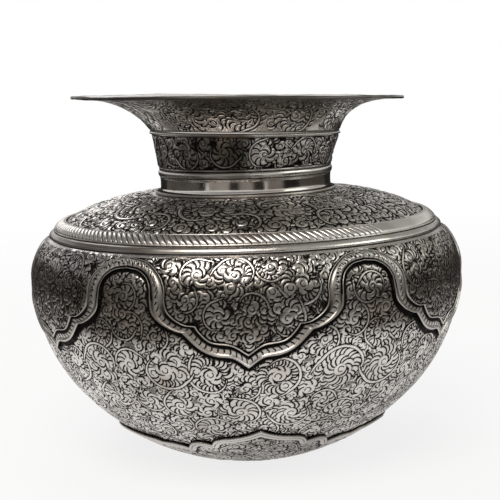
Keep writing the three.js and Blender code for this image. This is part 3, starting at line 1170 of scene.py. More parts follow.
@dataclass
class LowerBowl:
    """The belly from its floor to the seam: scrolls below the strap, bolder ones in the panels.

    Each scroll is a turn in degrees, a height and a radius in mm, for one panel of the six. The
    heights and depths are in mm, each followed by what the panels have more.
    """

    columns: int = 1536
    row_step: float = 0.4
    relief_foot: float = 13.0
    relief_head: float = 104.1
    flat: float = 35.0
    inner_flat: float = 34.0
    floor_rings: tuple = (8.0, 16.0, 24.0, 31.0)
    inner_rings: tuple = (30.0, 22.0, 14.0, 7.0)
    floor_columns: tuple = (96, 192, 384, 768)
    proud: float = 0.45
    shade_depth: float = 0.40
    bed_depth: float = 0.15
    ground_depth: float = 0.20
    leaf_height: tuple = (0.26, 0.12)
    cut_depth: tuple = (0.22, 0.08)
    ground_dark: tuple = (0.50, 0.25)
    scrolls: tuple = (
        (-9.0, 55.4, 9.2), (8.0, 54.6, 8.8), (-20.0, 57.6, 9.4), (23.2, 55.0, 11.0),
        (-19.4, 40.4, 7.8), (-3.1, 37.1, 8.3), (11.1, 35.7, 8.3), (27.0, 34.0, 7.6),
        (29.6, 88.2, 6.6), (-29.0, 75.6, 6.2),
    )
    panel_scrolls: tuple = (
        (-11.6, 96.6, 7.0), (-1.8, 96.2, 8.0), (13.4, 92.3, 8.2), (8.4, 79.3, 7.6),
        (-6.6, 80.6, 6.2), (-14.2, 87.0, 5.2),
    )

    def sites(self, table: tuple, chance: np.random.Generator) -> list[Spot]:
        """Repeats a table of scrolls round the pot, mirrored in every other panel.

        Args:
            table: The scrolls of one panel.
            chance: What strews them a little.

        Returns:
            The places of all scrolls.
        """
        spots = []
        for lobe in range(LOBES):
            side = -1 if lobe % 2 else 1
            for degrees, height, size in table:
                angle = math.radians(side * degrees + chance.uniform(-0.7, 0.7)) + lobe * TAU / LOBES
                arc = BELLY.arc_at(height) + chance.uniform(-0.4, 0.4)
                spots.append(Spot(angle % TAU, arc, size * chance.uniform(0.94, 1.02)))
        return spots

    def engrave(self, band: Chasing, line: StrapLine, split: np.ndarray) -> None:
        """Chases the field below the strap and the panels above it.

        Args:
            band: The belly's band.
            line: The strap's line, which both stay clear of.
            split: Where one ends and the other starts, in mm along the belly at each turn.
        """
        parts = (
            (line.lower, self.scrolls, Foliage(), False),
            (line.upper, self.panel_scrolls, Foliage(scrolls=(5.6, 7.2), least=3.0, feather=3.1), True),
        )
        for edge, table, foliage, upper in parts:
            plan = Plan(band)
            over = np.interp(plan.angles, turns_round(self.columns), split)
            plan.room[(plan.rows[:, None] > over) != upper] = -1
            for angle, arc in zip(*line.places(edge)):
                plan.take(angle % TAU, arc, 0.3, 9.0)
            plan.add_scrolls(self.sites(table, band.chance))
            rows = band.arc[:, None]
            foliage.carve(band, plan, rows > split if upper else rows < split)

    def chase(self, arc: np.ndarray) -> tuple[np.ndarray, np.ndarray]:
        """Chases the belly.

        Args:
            arc: The rows of its relief in mm along the outline.

        Returns:
            The height of each place in mm, and its marks.
        """
        line = StrapLine()
        band = Chasing(arc, BELLY.radius(arc), self.columns, seed=11)
        low, high = (line.arc_over(edge, turns_round(self.columns)) for edge in (line.lower, line.upper))
        self.engrave(band, line, (low + high) / 2)
        near_low, near_high = (band.near_line(*line.places(edge), 3.0) for edge in (line.lower, line.upper))
        rows = arc[:, None]
        proud = ease(0.2, 0.8, np.clip((rows - low) / np.maximum(high - low, 1.0), 0, 1))
        under = ease(0.3, 1.0, np.minimum((rows - low), (high - rows)))
        groove = band.grooves(0.10, 0.34)
        ground = band.ground()
        leaf, cut, bare = (a + b * proud for a, b in (self.leaf_height, self.cut_depth, self.ground_dark))
        height = self.proud * proud + band.lift * leaf - groove * cut - self.ground_depth * ground
        height = band.softened(height)
        # Painted shadow: the dark mark runs in a band along the strap's lower edge, further out low on the
        # belly where the strap hides its nearest part, and in a thin band along its upper edge; that band is
        # also sunk into the skin.
        hidden = 0.6 * (1 - ease(70.0, 84.0, np.interp(arc, BELLY.arc, BELLY.points[:, 1])))[:, None]
        shade = np.maximum(1 - ease(0.9, 2.0, near_low - hidden), 1 - ease(0.1, 0.5, near_high))
        height = height * (1 - under) - self.bed_depth * under - self.shade_depth * shade * (1 - under)
        # Dark mark: patina in the cuts and on the bare ground, and the painted shadow along the strap.
        dark = np.maximum(np.maximum(groove, bare * ground), shade)
        margin = ease(1.3, 2.1, arc[-1] - arc)[:, None]
        rise = np.clip(band.lift, 0, 1) * (1 - groove) * margin + 0.8 * (1 - margin)
        height = height * margin + 0.3 * (1 - margin)
        return height * faded(arc, 2.0, 1.5), marks_of(dark * (1 - under) * margin, rise)

    def build(self, finish: bpy.types.Material) -> bpy.types.Object:
        """Builds the bowl.

        Args:
            finish: Its material.

        Returns:
            The piece.
        """
        foot, head, seam = (BELLY.arc_at(z) for z in (self.relief_foot, self.relief_head, SEAM_HEIGHT))
        rows = np.arange(foot, head, self.row_step)
        height, marks = self.chase(rows)
        skin = Skin(2.0 * (seam + self.flat), self.columns, BELLY)
        floor = BELLY.points[0][1]
        back = self.flat + 2 * seam
        for count, radius in zip(self.floor_columns, self.floor_rings):
            skin.level(radius, floor, radius, (0.6, 0.0, 0.0), count)
        skin.follow(np.linspace(0, foot, 16)[:-1], 0.0, self.flat, (0.5, 0.1, 0.0))
        skin.follow(rows, height, self.flat, marks)
        skin.follow(np.linspace(head, seam, 5), 0.0, self.flat)
        skin.follow(np.linspace(seam, 1.0, 60), -SHEET, back, INSIDE, -1)
        for count, radius in zip(reversed(self.floor_columns), self.inner_rings):
            skin.level(radius, floor + SHEET, back + self.inner_flat - radius, INSIDE, count)
        return skin.make("bowl", finish, False)


@dataclass
class ShoulderDome:
    """The shoulder from the seam to the neck's seat, with a ring of large paired scrolls.

    Each ring of scrolls is its distance from the relief's foot, or from its head where it is
    less than 0, and the scrolls' radius, in mm.
    """

    columns: int = 1536
    row_step: float = 0.4
    relief_foot: float = 110.7
    seat_radius: float = 43.4
    bore: float = 37.5
    relief: float = 0.55
    cut_depth: float = 0.30
    ground_depth: float = 0.20
    ground_dark: float = 0.45
    repeats: int = 12
    large: tuple = (21.0, 12.2)
    upper: tuple = (-9.2, 7.0)
    lower: tuple = (8.2, 7.8)

    def chase(self, arc: np.ndarray) -> tuple[np.ndarray, np.ndarray]:
        """Chases the shoulder.

        Args:
            arc: The rows of its relief in mm along the outline.

        Returns:
            The height of each place in mm, and its marks.
        """
        band = Chasing(arc, BELLY.radius(arc), self.columns, seed=23, pitch=3.1, widest=3.6, stem=0.08)
        chance = band.chance
        plan = Plan(band)
        spots = []
        middle, inner, outer = arc[0] + self.large[0], arc[-1] + self.upper[0], arc[0] + self.lower[0]
        apart = 360 / self.repeats
        for i in range(self.repeats):
            angle = math.radians(apart * (i + 0.5) + chance.uniform(-1, 1))
            place = middle + chance.uniform(-0.8, 0.8)
            spots.append(Spot(angle, place, self.large[1] * chance.uniform(0.95, 1.02)))
        for i in range(self.repeats):
            angle = math.radians(apart * i + chance.uniform(-1, 1))
            spots.append(Spot(angle, inner, self.upper[1]))
            spots.append(Spot(angle + math.radians(chance.uniform(-1, 1)), outer, self.lower[1]))
        plan.add_scrolls(spots)
        Foliage((7.0, 9.4), (4.4, 6.2), least=3.6, feather=3.5, depth=3).carve(band, plan)
        groove, ground = band.grooves(0.20, 0.52), band.ground()
        height = band.lift * self.relief - groove * self.cut_depth - self.ground_depth * ground
        rise = np.clip(band.lift, 0, 1) * (1 - groove)
        height = band.softened(height) * faded(arc, 1.2, 1.2)
        return height, marks_of(np.maximum(groove, self.ground_dark * ground), rise)

    def build(self, finish: bpy.types.Material) -> bpy.types.Object:
        """Builds the shoulder.

        Args:
            finish: Its material.

        Returns:
            The piece.
        """
        seam, foot = BELLY.arc_at(SEAM_HEIGHT), BELLY.arc_at(self.relief_foot)
        inward = -BELLY.points[len(BOWL):, 0]
        order = np.argsort(inward)
        head = float(np.interp(-self.seat_radius, inward[order], BELLY.arc[len(BOWL):][order]))
        end = BELLY.arc[-1]
        rows = np.arange(foot, head, self.row_step)
        height, marks = self.chase(rows)
        long = end - seam
        skin = Skin(2 * long + 12, self.columns, BELLY)
        skin.follow(np.linspace(seam, foot, 6)[:-1], 0.0, -seam, (0.8, 0.0, 0.0))
        skin.follow(rows, height, -seam, marks)
        skin.follow([end], 0.0, -seam)
        seat = SEAT[0] - self.bore
        skin.level(self.bore, SEAT[1], long + seat, INSIDE)
        skin.level(self.bore, SEAT[1] - SHEET, long + seat + SHEET, INSIDE)
        skin.follow(np.linspace(end, seam, 30), -SHEET, 2 * end - seam + 11, INSIDE, -1)
        return skin.make("shoulder", finish)


@dataclass
class Strap:
    """One cusped strap from arch crown to arch crown: two fillets with a punched middle between."""

    number: int
    step: float = 0.28
    across: int = 34
    bottom: float = -0.05
    edge: float = 0.30
    punch_depth: float = 0.16
    punch_pitch: float = 2.5
    head_from: float = 76.0
    head_to: float = 92.0
    side_ridges: tuple = ((1.15, -0.75, 0.25, 0.6), (0.80, 0.87, 0.13, 0.6), (0.30, -0.05, 0.70, 1))
    arch_ridges: tuple = ((0.55, -0.91, 0.09, 0.6), (0.70, 0.92, 0.08, 0.6), (1.25, 0.10, 0.62, 0.8))

    def heights(self, u: np.ndarray, head: np.ndarray) -> np.ndarray:
        """Gives the strap's height.

        Args:
            u: The place across it, -1 at the lower edge and 1 at the upper.
            head: How far it has turned from panel edge into arch head, 0 to 1.

        Returns:
            The heights in mm.
        """
        side, arch = (
            np.max([tall * half_round((u - at) / half) ** power for tall, at, half, power in ridges], axis=0)
            for ridges in (self.side_ridges, self.arch_ridges)
        )
        return self.edge + side * (1 - head) + arch * head

    def punches(self, along: np.ndarray, across: np.ndarray, head: np.ndarray) -> np.ndarray:
        """Gives the marks of the crescent punch and the dots between, 0 to 1.

        Args:
            along: The distance along the strap in mm.
            across: The distance from its middle in mm.
            head: How far it has turned into arch head, 0 to 1.

        Returns:
            The depth of the marks, 1 at the deepest.
        """
        pitch = self.punch_pitch
        local = np.mod(along + across * 0.35, pitch) - pitch / 2
        crescent = np.abs(np.hypot(local + 0.55, across + 0.3) - 1.05)
        mark = (1 - ease(0.12, 0.34, crescent)) * ease(-0.3, 0.1, local)
        dot = 1 - ease(0.16, 0.34, np.hypot(local - 0.1, across + 0.3))
        row = np.mod(along, pitch / 2) - pitch / 4
        beads = 1 - ease(0.12, 0.28, np.hypot(row, np.abs(across) - 1.35))
        wander = 0.25 * np.sin(along * 1.7) + 0.18 * np.sin(along * 4.3 + 1.0)
        stroke = np.abs(np.mod(along + 0.5 * across + wander, 1.15) - 0.575)
        root = -0.7 + 0.5 * np.sin(along * 2.9)
        hatch = (1 - ease(0.12, 0.36, stroke)) * ease(0.0, 0.5, across - root) * (1 - ease(1.1, 1.5, across))
        side = np.clip(mark + dot * 0.8 + beads * 0.3, 0, 1) * (1 - head)
        arch = np.clip(hatch + mark * 0.5 * (across < 0.3), 0, 1) * head
        return (side + arch) * (np.abs(across) < 2.0)

    def build(self, finish: bpy.types.Material) -> bpy.types.Object:
        """Builds the strap.

        Args:
            finish: Its material.

        Returns:
            The piece.
        """
        line = StrapLine()
        low, high = (np.vstack((half[:0:-1] * (-1, 1), half)) for half in line.ladder(self.step))
        middle = (low + high) / 2
        along = measured(middle)
        wide = np.hypot(*(high - low).T)[:, None] / 2
        z_at = np.interp(middle[:, 1], BELLY.arc, BELLY.points[:, 1])
        u = np.linspace(-1, 1, self.across)[None, :]
        head = ease(self.head_from, self.head_to, z_at)[:, None]
        share = (u + 1) / 2
        x, y = (low[:, k:k + 1] * (1 - share) + high[:, k:k + 1] * share for k in (0, 1))
        x, y = (np.concatenate((side, side[:, -1:], side[:, :1]), axis=1) for side in (x, y))
        marks = self.punches((along - along[-1] / 2)[:, None], u * wide, head)
        valley = self.heights(u, head)
        skirt = np.full((len(x), 2), self.bottom)
        outer = np.concatenate((valley - self.punch_depth * marks, skirt), axis=1)
        places = BELLY.place(self.number * TAU / LOBES + x / line.ring, y, outer)
        # Painted shade and patina darken the channel between the fillets; a thin dark line runs along the
        # lower fillet.
        patina_and_shade = 0.85 * ease(-0.15, 0.45, u) * (1 - ease(0.70, 0.78, u)) * (1 - head)
        patina_and_shade = patina_and_shade + 0.7 * (1 - ease(0.05, 0.16, np.abs(u + 0.80) * wide)) * (1 - head)
        sunk = np.maximum(1 - ease(0.03, 0.11, np.abs(u + 0.67)), 0.8 - ease(0.02, 0.07, np.abs(u - 0.79)))
        seam = 1 - ease(0.02, 0.22, valley - self.edge)
        groove = np.maximum(np.maximum(marks, patina_and_shade), np.maximum(seam, sunk * head))
        groove = np.concatenate((groove, np.ones((len(x), 2))), axis=1)
        rise = np.clip((outer - 0.6) / 0.6, 0, 1) * (1 - groove)
        end = 0.04 * along[-1] / 0.92
        skin = Skin(along[-1] + 2 * end)
        for points, length, mark in zip(places, along, marks_of(groove, rise)):
            skin.add(points, end + length, mark)
        return skin.make(f"strap_arch_{self.number + 1}", finish, False)


@dataclass
class RopeRing:
    """The rope moulding above the seam: slanting strands under a plain fillet.

    It is rubbed plain between two turns in degrees.
    """

    low: float = 106.4
    high: float = 110.5
    foot: float = 0.05
    hollow: float = 0.75
    proud: float = 2.0
    strands: int = 190
    slant: float = 1.5
    rubbed: tuple = (38.5, 100.0)
    columns: int = 2280
    rows: int = 34

    def build(self, finish: bpy.types.Material) -> bpy.types.Object:
        """Builds the moulding.

        Args:
            finish: Its material.

        Returns:
            The piece.
        """
        foot, head = BELLY.arc_at(self.low), BELLY.arc_at(self.high)
        wide = head - foot
        angle = turns_round(self.columns)
        knots = np.random.default_rng(31).uniform(-0.12, 0.12, 99)
        wander = np.interp(angle, np.linspace(0, TAU, len(knots)), knots)
        first, last = np.radians(self.rubbed)
        smooth = ease(first, first + 0.05, angle) * (1 - ease(last - 0.35, last, angle))
        skin = Skin(1.0, self.columns, BELLY)
        skin.follow([foot], self.foot, -foot, SEAM)
        for share in np.linspace(0, 1, self.rows):
            lift, groove = self.row(share, angle * self.strands / TAU + wander, smooth)
            rise = np.clip((lift - 0.9) / 0.8, 0, 1) * (1 - groove)
            points = BELLY.place(angle, foot + wide * share, lift)
            skin.add(points, 0.02 + 0.7 * share, marks_of(np.clip(groove, 0, 1), rise))
        for share in np.linspace(1, 0.2, 4):
            skin.add(BELLY.place(angle, foot + wide * share, self.foot), 1 - 0.26 * share, SEAM)
        return skin.make("rope_moulding", finish)

    def row(self, share: float, phase: np.ndarray, smooth: np.ndarray) -> tuple[np.ndarray, np.ndarray]:
        """Gives one row's heights in mm and its grooves.

        Args:
            share: How far up the moulding it lies, 0 to 1.
            phase: How many strands lie before each place, at the moulding's foot.
            smooth: How far each place is rubbed plain, 0 to 1.

        Returns:
            The heights and the grooves, one for each place.
        """
        band = (share - 0.07) / 0.83
        if 0 < band < 1:
            pitch = TAU * 98 / self.strands
            local = np.abs(np.mod(phase + self.slant * band, 1) - 0.5) * 2
            body = np.sqrt(np.clip(1 - local**3, 0, 1)) * (1 - smooth) + 0.75 * smooth
            across = half_round(2 * band - 1)
            lift = self.hollow + (self.proud - self.hollow) * across**0.6 * (0.35 + 0.65 * body)
            groove = (1 - ease(0.14, 0.40, (1 - local) * pitch / 2)) * (1 - 0.8 * smooth)
            return lift, np.maximum(groove, 1 - across**0.5 * 1.3)
        middle, half = (0.035, 0.04) if share < 0.5 else (0.955, 0.05)
        across = half_round((share - middle) / half)
        return np.full(self.columns, 0.65 + 0.55 * across), np.full(self.columns, 1 - min(across * 1.6, 1.0))


@dataclass
class SeamBead:
    """The plain half round that covers the seam of bowl and shoulder."""

    low: float = 103.85
    high: float = 106.3
    foot: float = 0.05
    proud: float = 1.25
    columns: int = 960

    def build(self, finish: bpy.types.Material) -> bpy.types.Object:
        """Builds the bead.

        Args:
            finish: Its material.

        Returns:
            The piece.
        """
        foot, head = BELLY.arc_at(self.low), BELLY.arc_at(self.high)
        angle = turns_round(self.columns)
        knots = np.random.default_rng(41).uniform(-0.05, 0.05, 141)
        knots[-1] = knots[0]
        wander = np.interp(angle, np.linspace(0, TAU, len(knots)), knots)
        skin = Skin(1.0, self.columns)
        for share in np.linspace(0, 1, 15):
            turn = math.pi * share
            arc = foot + (head - foot) * (0.5 - 0.5 * math.cos(turn))
            lift = self.foot + math.sin(turn) ** 0.7 * (self.proud - self.foot + wander)
            groove = max(0.0, 1 - 2.2 * math.sin(turn))
            skin.add(BELLY.place(angle, arc, lift), 0.7 * share, (groove, 0.9, 0.0))
        for share in (0.75, 0.25):
            points = BELLY.place(angle, foot + (head - foot) * share, 0.02)
            skin.add(points, 1 - 0.3 * share, SEAM)
        return skin.make("seam_bead_round", finish)


@dataclass(frozen=True)
class PlainRing:
    """A plain turned ring at the neck, dark where it meets its neighbours.

    Its outline gives radius and height in mm, up the outside and down the inside, and its
    grooves how dark each of those places is.
    """

    name: str
    node: str
    outline: tuple
    grooves: tuple
    columns: int = 480

    @classmethod
    def rounded(cls, name: str, node: str, inner: float, outer: float, low: float, high: float,
                depth: float) -> "PlainRing":
        """Makes a ring with a rounded outer face.

        Args:
            name: The piece's name.
            node: The frame's node that it stands for.
            inner: Its inner radius in mm.
            outer: Its outer radius in mm.
            low: Its lowest height in mm.
            high: Its highest height in mm.
            depth: How much of its width is round in mm.

        Returns:
            The ring.
        """
        middle, half = (low + high) / 2, (high - low) / 2
        face = [
            (outer - depth * (1 - math.cos(turn)), middle + half * math.sin(turn))
            for turn in np.linspace(-math.pi / 2, math.pi / 2, 13)
        ]
        outline = ((inner, low), *face, (inner, high), (inner, middle))
        ends = [min(z for _, z in outline), max(z for _, z in outline)]
        return cls(name, node, outline, tuple(float(z in ends) for _, z in outline))

    def build(self, finish: bpy.types.Material) -> bpy.types.Object:
        """Builds the ring.

        Args:
            finish: Its material.

        Returns:
            The piece.
        """
        along = measured(np.array((*self.outline, self.outline[0]), float))
        skin = Skin(along[-1], self.columns, settled=True)
        for (radius, height), length, groove in zip(self.outline, along, self.grooves):
            skin.level(radius, height, length, (groove, 0.3, 0.0))
        return skin.make(self.name, finish)


@dataclass
class NeckTube:
    """The neck: a plain seat inside the collar and a chased band that widens upwards."""

    columns: int = 1024
    row_step: float = 0.34
    bore: float = 37.5
    seat: float = 38.7
    base: float = 121.55
    low: tuple = (40.2, 132.9)
    high: tuple = (43.9, 148.9)
    sag: float = 0.35
    relief: float = 0.60
    border: float = 0.20
    cut_depth: float = 0.22
    ground_depth: float = 0.20
    ground_dark: float = 0.9
    repeats: int = 14
    scroll_size: float = 6.7

    def build(self, finish: bpy.types.Material) -> bpy.types.Object:
        """Builds the neck.

        Args:
            finish: Its material.

        Returns:
            The piece.
        """
        low, high = np.array(self.low), np.array(self.high)
        steps = np.linspace(0, 1, 30)[:, None]
        hollow = -self.sag * np.sin(math.pi * steps) * np.array([[1.0, 0.0]])
        line = Profile(low + steps * (high - low) + hollow)
        rows = np.arange(0.0, math.hypot(*(high - low)), self.row_step)
        height, marks = self.chase(line, rows)
        tall = low[1] - self.base
        skin = Skin(62.0, self.columns, line)
        for share in (0.0, *np.linspace(0.2, 1, 5)):
            skin.level(self.seat, self.base + tall * share, 11.4 * share, SEAM)
        skin.settled = True
        skin.follow(rows, height, 12.9, marks)
        skin.level(*self.high, 29.4, INSIDE)
        for share in np.linspace(1, 0, 12):
            radius, z = low + (high - low) * share
            skin.level(radius - SHEET, z, 30.6 + 16.4 * (1 - share), INSIDE)
        skin.settled = False
        for share in (0.97, 0.5, 0.0):
            skin.level(self.bore, self.base + tall * share, 49.0 + 11.4 * (1 - share), INSIDE)
        return skin.make("neck", finish)

    def chase(self, line: Profile, arc: np.ndarray) -> tuple[np.ndarray, np.ndarray]:
        """Chases the band.

        Args:
            line: The band's outline.
            arc: The rows of its relief in mm along it.

        Returns:
            The height of each place in mm, and its marks.
        """
        band = Chasing(arc, line.radius(arc), self.columns, seed=53, pitch=2.2, wound=1.0)
        plan = Plan(band, grid=0.6)
        spots = []
        for i in range(self.repeats):
            angle = TAU * (i + 0.5) / self.repeats + band.chance.uniform(-0.02, 0.02)
            spots.append(Spot(angle, arc[-1] / 2 + (0.5 if i % 2 else -0.5), self.scroll_size))
        plan.add_scrolls(spots)
        Foliage((4.8, 5.6), (2.6, 3.8), least=2.5).carve(band, plan)
        room = np.minimum(arc - arc[0], arc[-1] - arc)[:, None]
        part = ease(0.9, 1.3, room)
        ground = band.ground(0.5)
        groove = np.maximum(band.grooves(0.10, 0.32) * part, 1 - ease(0.10, 0.28, np.abs(room - 1.0)))
        lift = band.lift * self.relief * part + self.border * (1 - part)
        height = lift - groove * self.cut_depth - self.ground_depth * ground * part
        rise = np.clip(band.lift * part + 0.5 * (1 - part), 0, 1) * (1 - groove)
        return height, marks_of(np.maximum(groove, self.ground_dark * ground * part), rise)


def lean(points: np.ndarray) -> np.ndarray:
    """Tips the neck's upper part a little to one side, as the real one has settled.

    Args:
        points: The points in mm, with x, y and z last.

    Returns:
        The moved points.
    """
    foot, full, tip = 130.0, 150.0, math.radians(1.7)
    aside, spread = 1.0, 3.6
    x, z = points[..., 0], points[..., 2]
    turn = tip * ease(foot, full, z)
    up = z - foot
    moved = points.copy()
    moved[..., 0] = x * np.cos(turn) + up * np.sin(turn)
    moved[..., 2] = foot + up * np.cos(turn) - x * np.sin(turn)
    moved = np.where(points[..., 2:] > foot, moved, points)
    moved[..., 0] += aside * ease(119.5, 121.5, z) - spread * ease(147.0, 166.0, z)
    return moved


def lip_wave(angle: np.ndarray) -> np.ndarray:
    """Gives how far the lip has bent up at each turn in mm."""
    return 0.28 * np.sin(2 * angle + 0.9) + 0.16 * np.sin(5 * angle + 2.0) + 0.08 * np.sin(9 * angle)


@dataclass
class MouthFlare:
    """The wide mouth: light engraving on smooth metal outside, turned and burnished inside.

    Each of its two rings of scrolls is its distance from the foot and the scrolls' radius in mm.
    """

    columns: int = 1280
    row_step: float = 0.36
    foot: tuple = (43.9, 148.9)
    lip: tuple = (75.5, 164.6)
    inner_rows: int = 70
    relief: float = 0.20
    cut_depth: float = 0.16
    cut_dark: float = 0.85
    repeats: int = 12
    lower: tuple = (10.4, 8.4)
    upper: tuple = (26.0, 9.6)

    def line(self) -> Profile:
        """Gives the outline of the flare's outer, lower face."""
        near_lip = reach((self.lip[0], self.lip[1] + SHEET), 20.4, 182.5)
        return Profile(bezier([self.foot, reach(self.foot, 8, 67), near_lip, self.lip]))

    def build(self, finish: bpy.types.Material) -> bpy.types.Object:
        """Builds the flare.

        Args:
            finish: Its material.

        Returns:
            The piece.
        """
        line = self.line()
        end = line.arc[-1]
        rows = np.arange(0.0, end, self.row_step)
        height, marks = self.chase(line, rows)
        skin = Skin(2 * end + 3, settled=True)
        for arc, lift, mark in zip(rows, height, marks):
            skin.add(self.bent(line, arc, lift), arc, mark)
        skin.add(self.bent(line, end, 0.0), end)
        for arc in np.linspace(end, 0, self.inner_rows):
            turned = 0.025 * math.sin(arc * 2.1) + 0.02 * math.sin(arc * 0.77)
            skin.add(self.bent(line, arc, turned - SHEET), 2 * end + SHEET - arc, (0.0, 0.1, 1.0))
        return skin.make("mouth", finish)

    def bent(self, line: Profile, arc: float, lift: float | np.ndarray) -> np.ndarray:
        """Places one ring of the flare, with the bends of its lip.

        Args:
            line: The flare's outline.
            arc: The ring's distance along it in mm.
            lift: How far it lies outside it in mm.

        Returns:
            Its points in mm.
        """
        angle = turns_round(self.columns)
        points = line.place(angle, arc, lift)
        share = float(ease(52.0, 75.5, line.radius(arc)))
        points[:, 2] += lip_wave(angle) * share
        return points

    def chase(self, line: Profile, arc: np.ndarray) -> tuple[np.ndarray, np.ndarray]:
        """Engraves the flare.

        Args:
            line: The flare's outline.
            arc: The rows of its relief in mm along it.

        Returns:
            The height of each place in mm, and its marks.
        """
        band = Chasing(arc, line.radius(arc), self.columns, seed=67, pitch=2.7, widest=3.6)
        plan = Plan(band)
        plan.room = np.minimum(plan.room, (plan.rows - 2.6)[:, None])
        spots = []
        for i in range(self.repeats):
            angle = TAU * i / self.repeats + band.chance.uniform(-0.03, 0.03)
            spots.append(Spot(angle, self.lower[0] + 0.7 * (-1) ** i, self.lower[1]))
        for i in range(self.repeats):
            angle = TAU * (i + 0.5) / self.repeats + band.chance.uniform(-0.02, 0.02)
            spots.append(Spot(angle, self.upper[0] + band.chance.uniform(-0.8, 0.8), self.upper[1]))
        plan.add_scrolls(spots)
        Foliage((6.2, 8.2), (3.4, 5.2), least=2.5, feather=0.0).carve(band, plan)
        room = np.minimum(arc - 1.2, arc[-1] - 1.0 - arc)[:, None]
        shape = ease(0.3, 0.8, room)
        groove = band.grooves(0.12, 0.38) * shape
        groove = np.maximum(groove, 1 - ease(0.08, 0.26, np.abs(room - 0.2)))
        height = band.lift * self.relief * shape - groove * self.cut_depth
        rise = np.clip(0.2 + band.lift * 0.6, 0, 1) * (1 - groove)
        return height * ease(0, 1.0, arc[-1] - arc)[:, None], marks_of(groove * self.cut_dark, rise)


@dataclass
class RimWire:
    """The round wire that stiffens the lip."""

    ring: float = 76.5
    height: float = 165.2
    radius: float = 0.78
    columns: int = 960
    sides: int = 14

    def build(self, finish: bpy.types.Material) -> bpy.types.Object:
        """Builds the wire.

        Args:
            finish: Its material.

        Returns:
            The piece.
        """
        angle = turns_round(self.columns)
        thick = self.radius * (1 + 0.06 * np.sin(17 * angle + 1.0) + 0.04 * np.sin(41 * angle))
        skin = Skin(self.sides, settled=True)
        for i in range(self.sides):
            turn = TAU * i / self.sides - math.pi / 2
            radius = self.ring + math.cos(turn) * thick
            z = self.height + math.sin(turn) * thick + lip_wave(angle)
            skin.add(np.column_stack((radius * np.sin(angle), -radius * np.cos(angle), z)), i,
                     (0.25, 0.3, 0.0))
        return skin.make("lip_wire", finish)


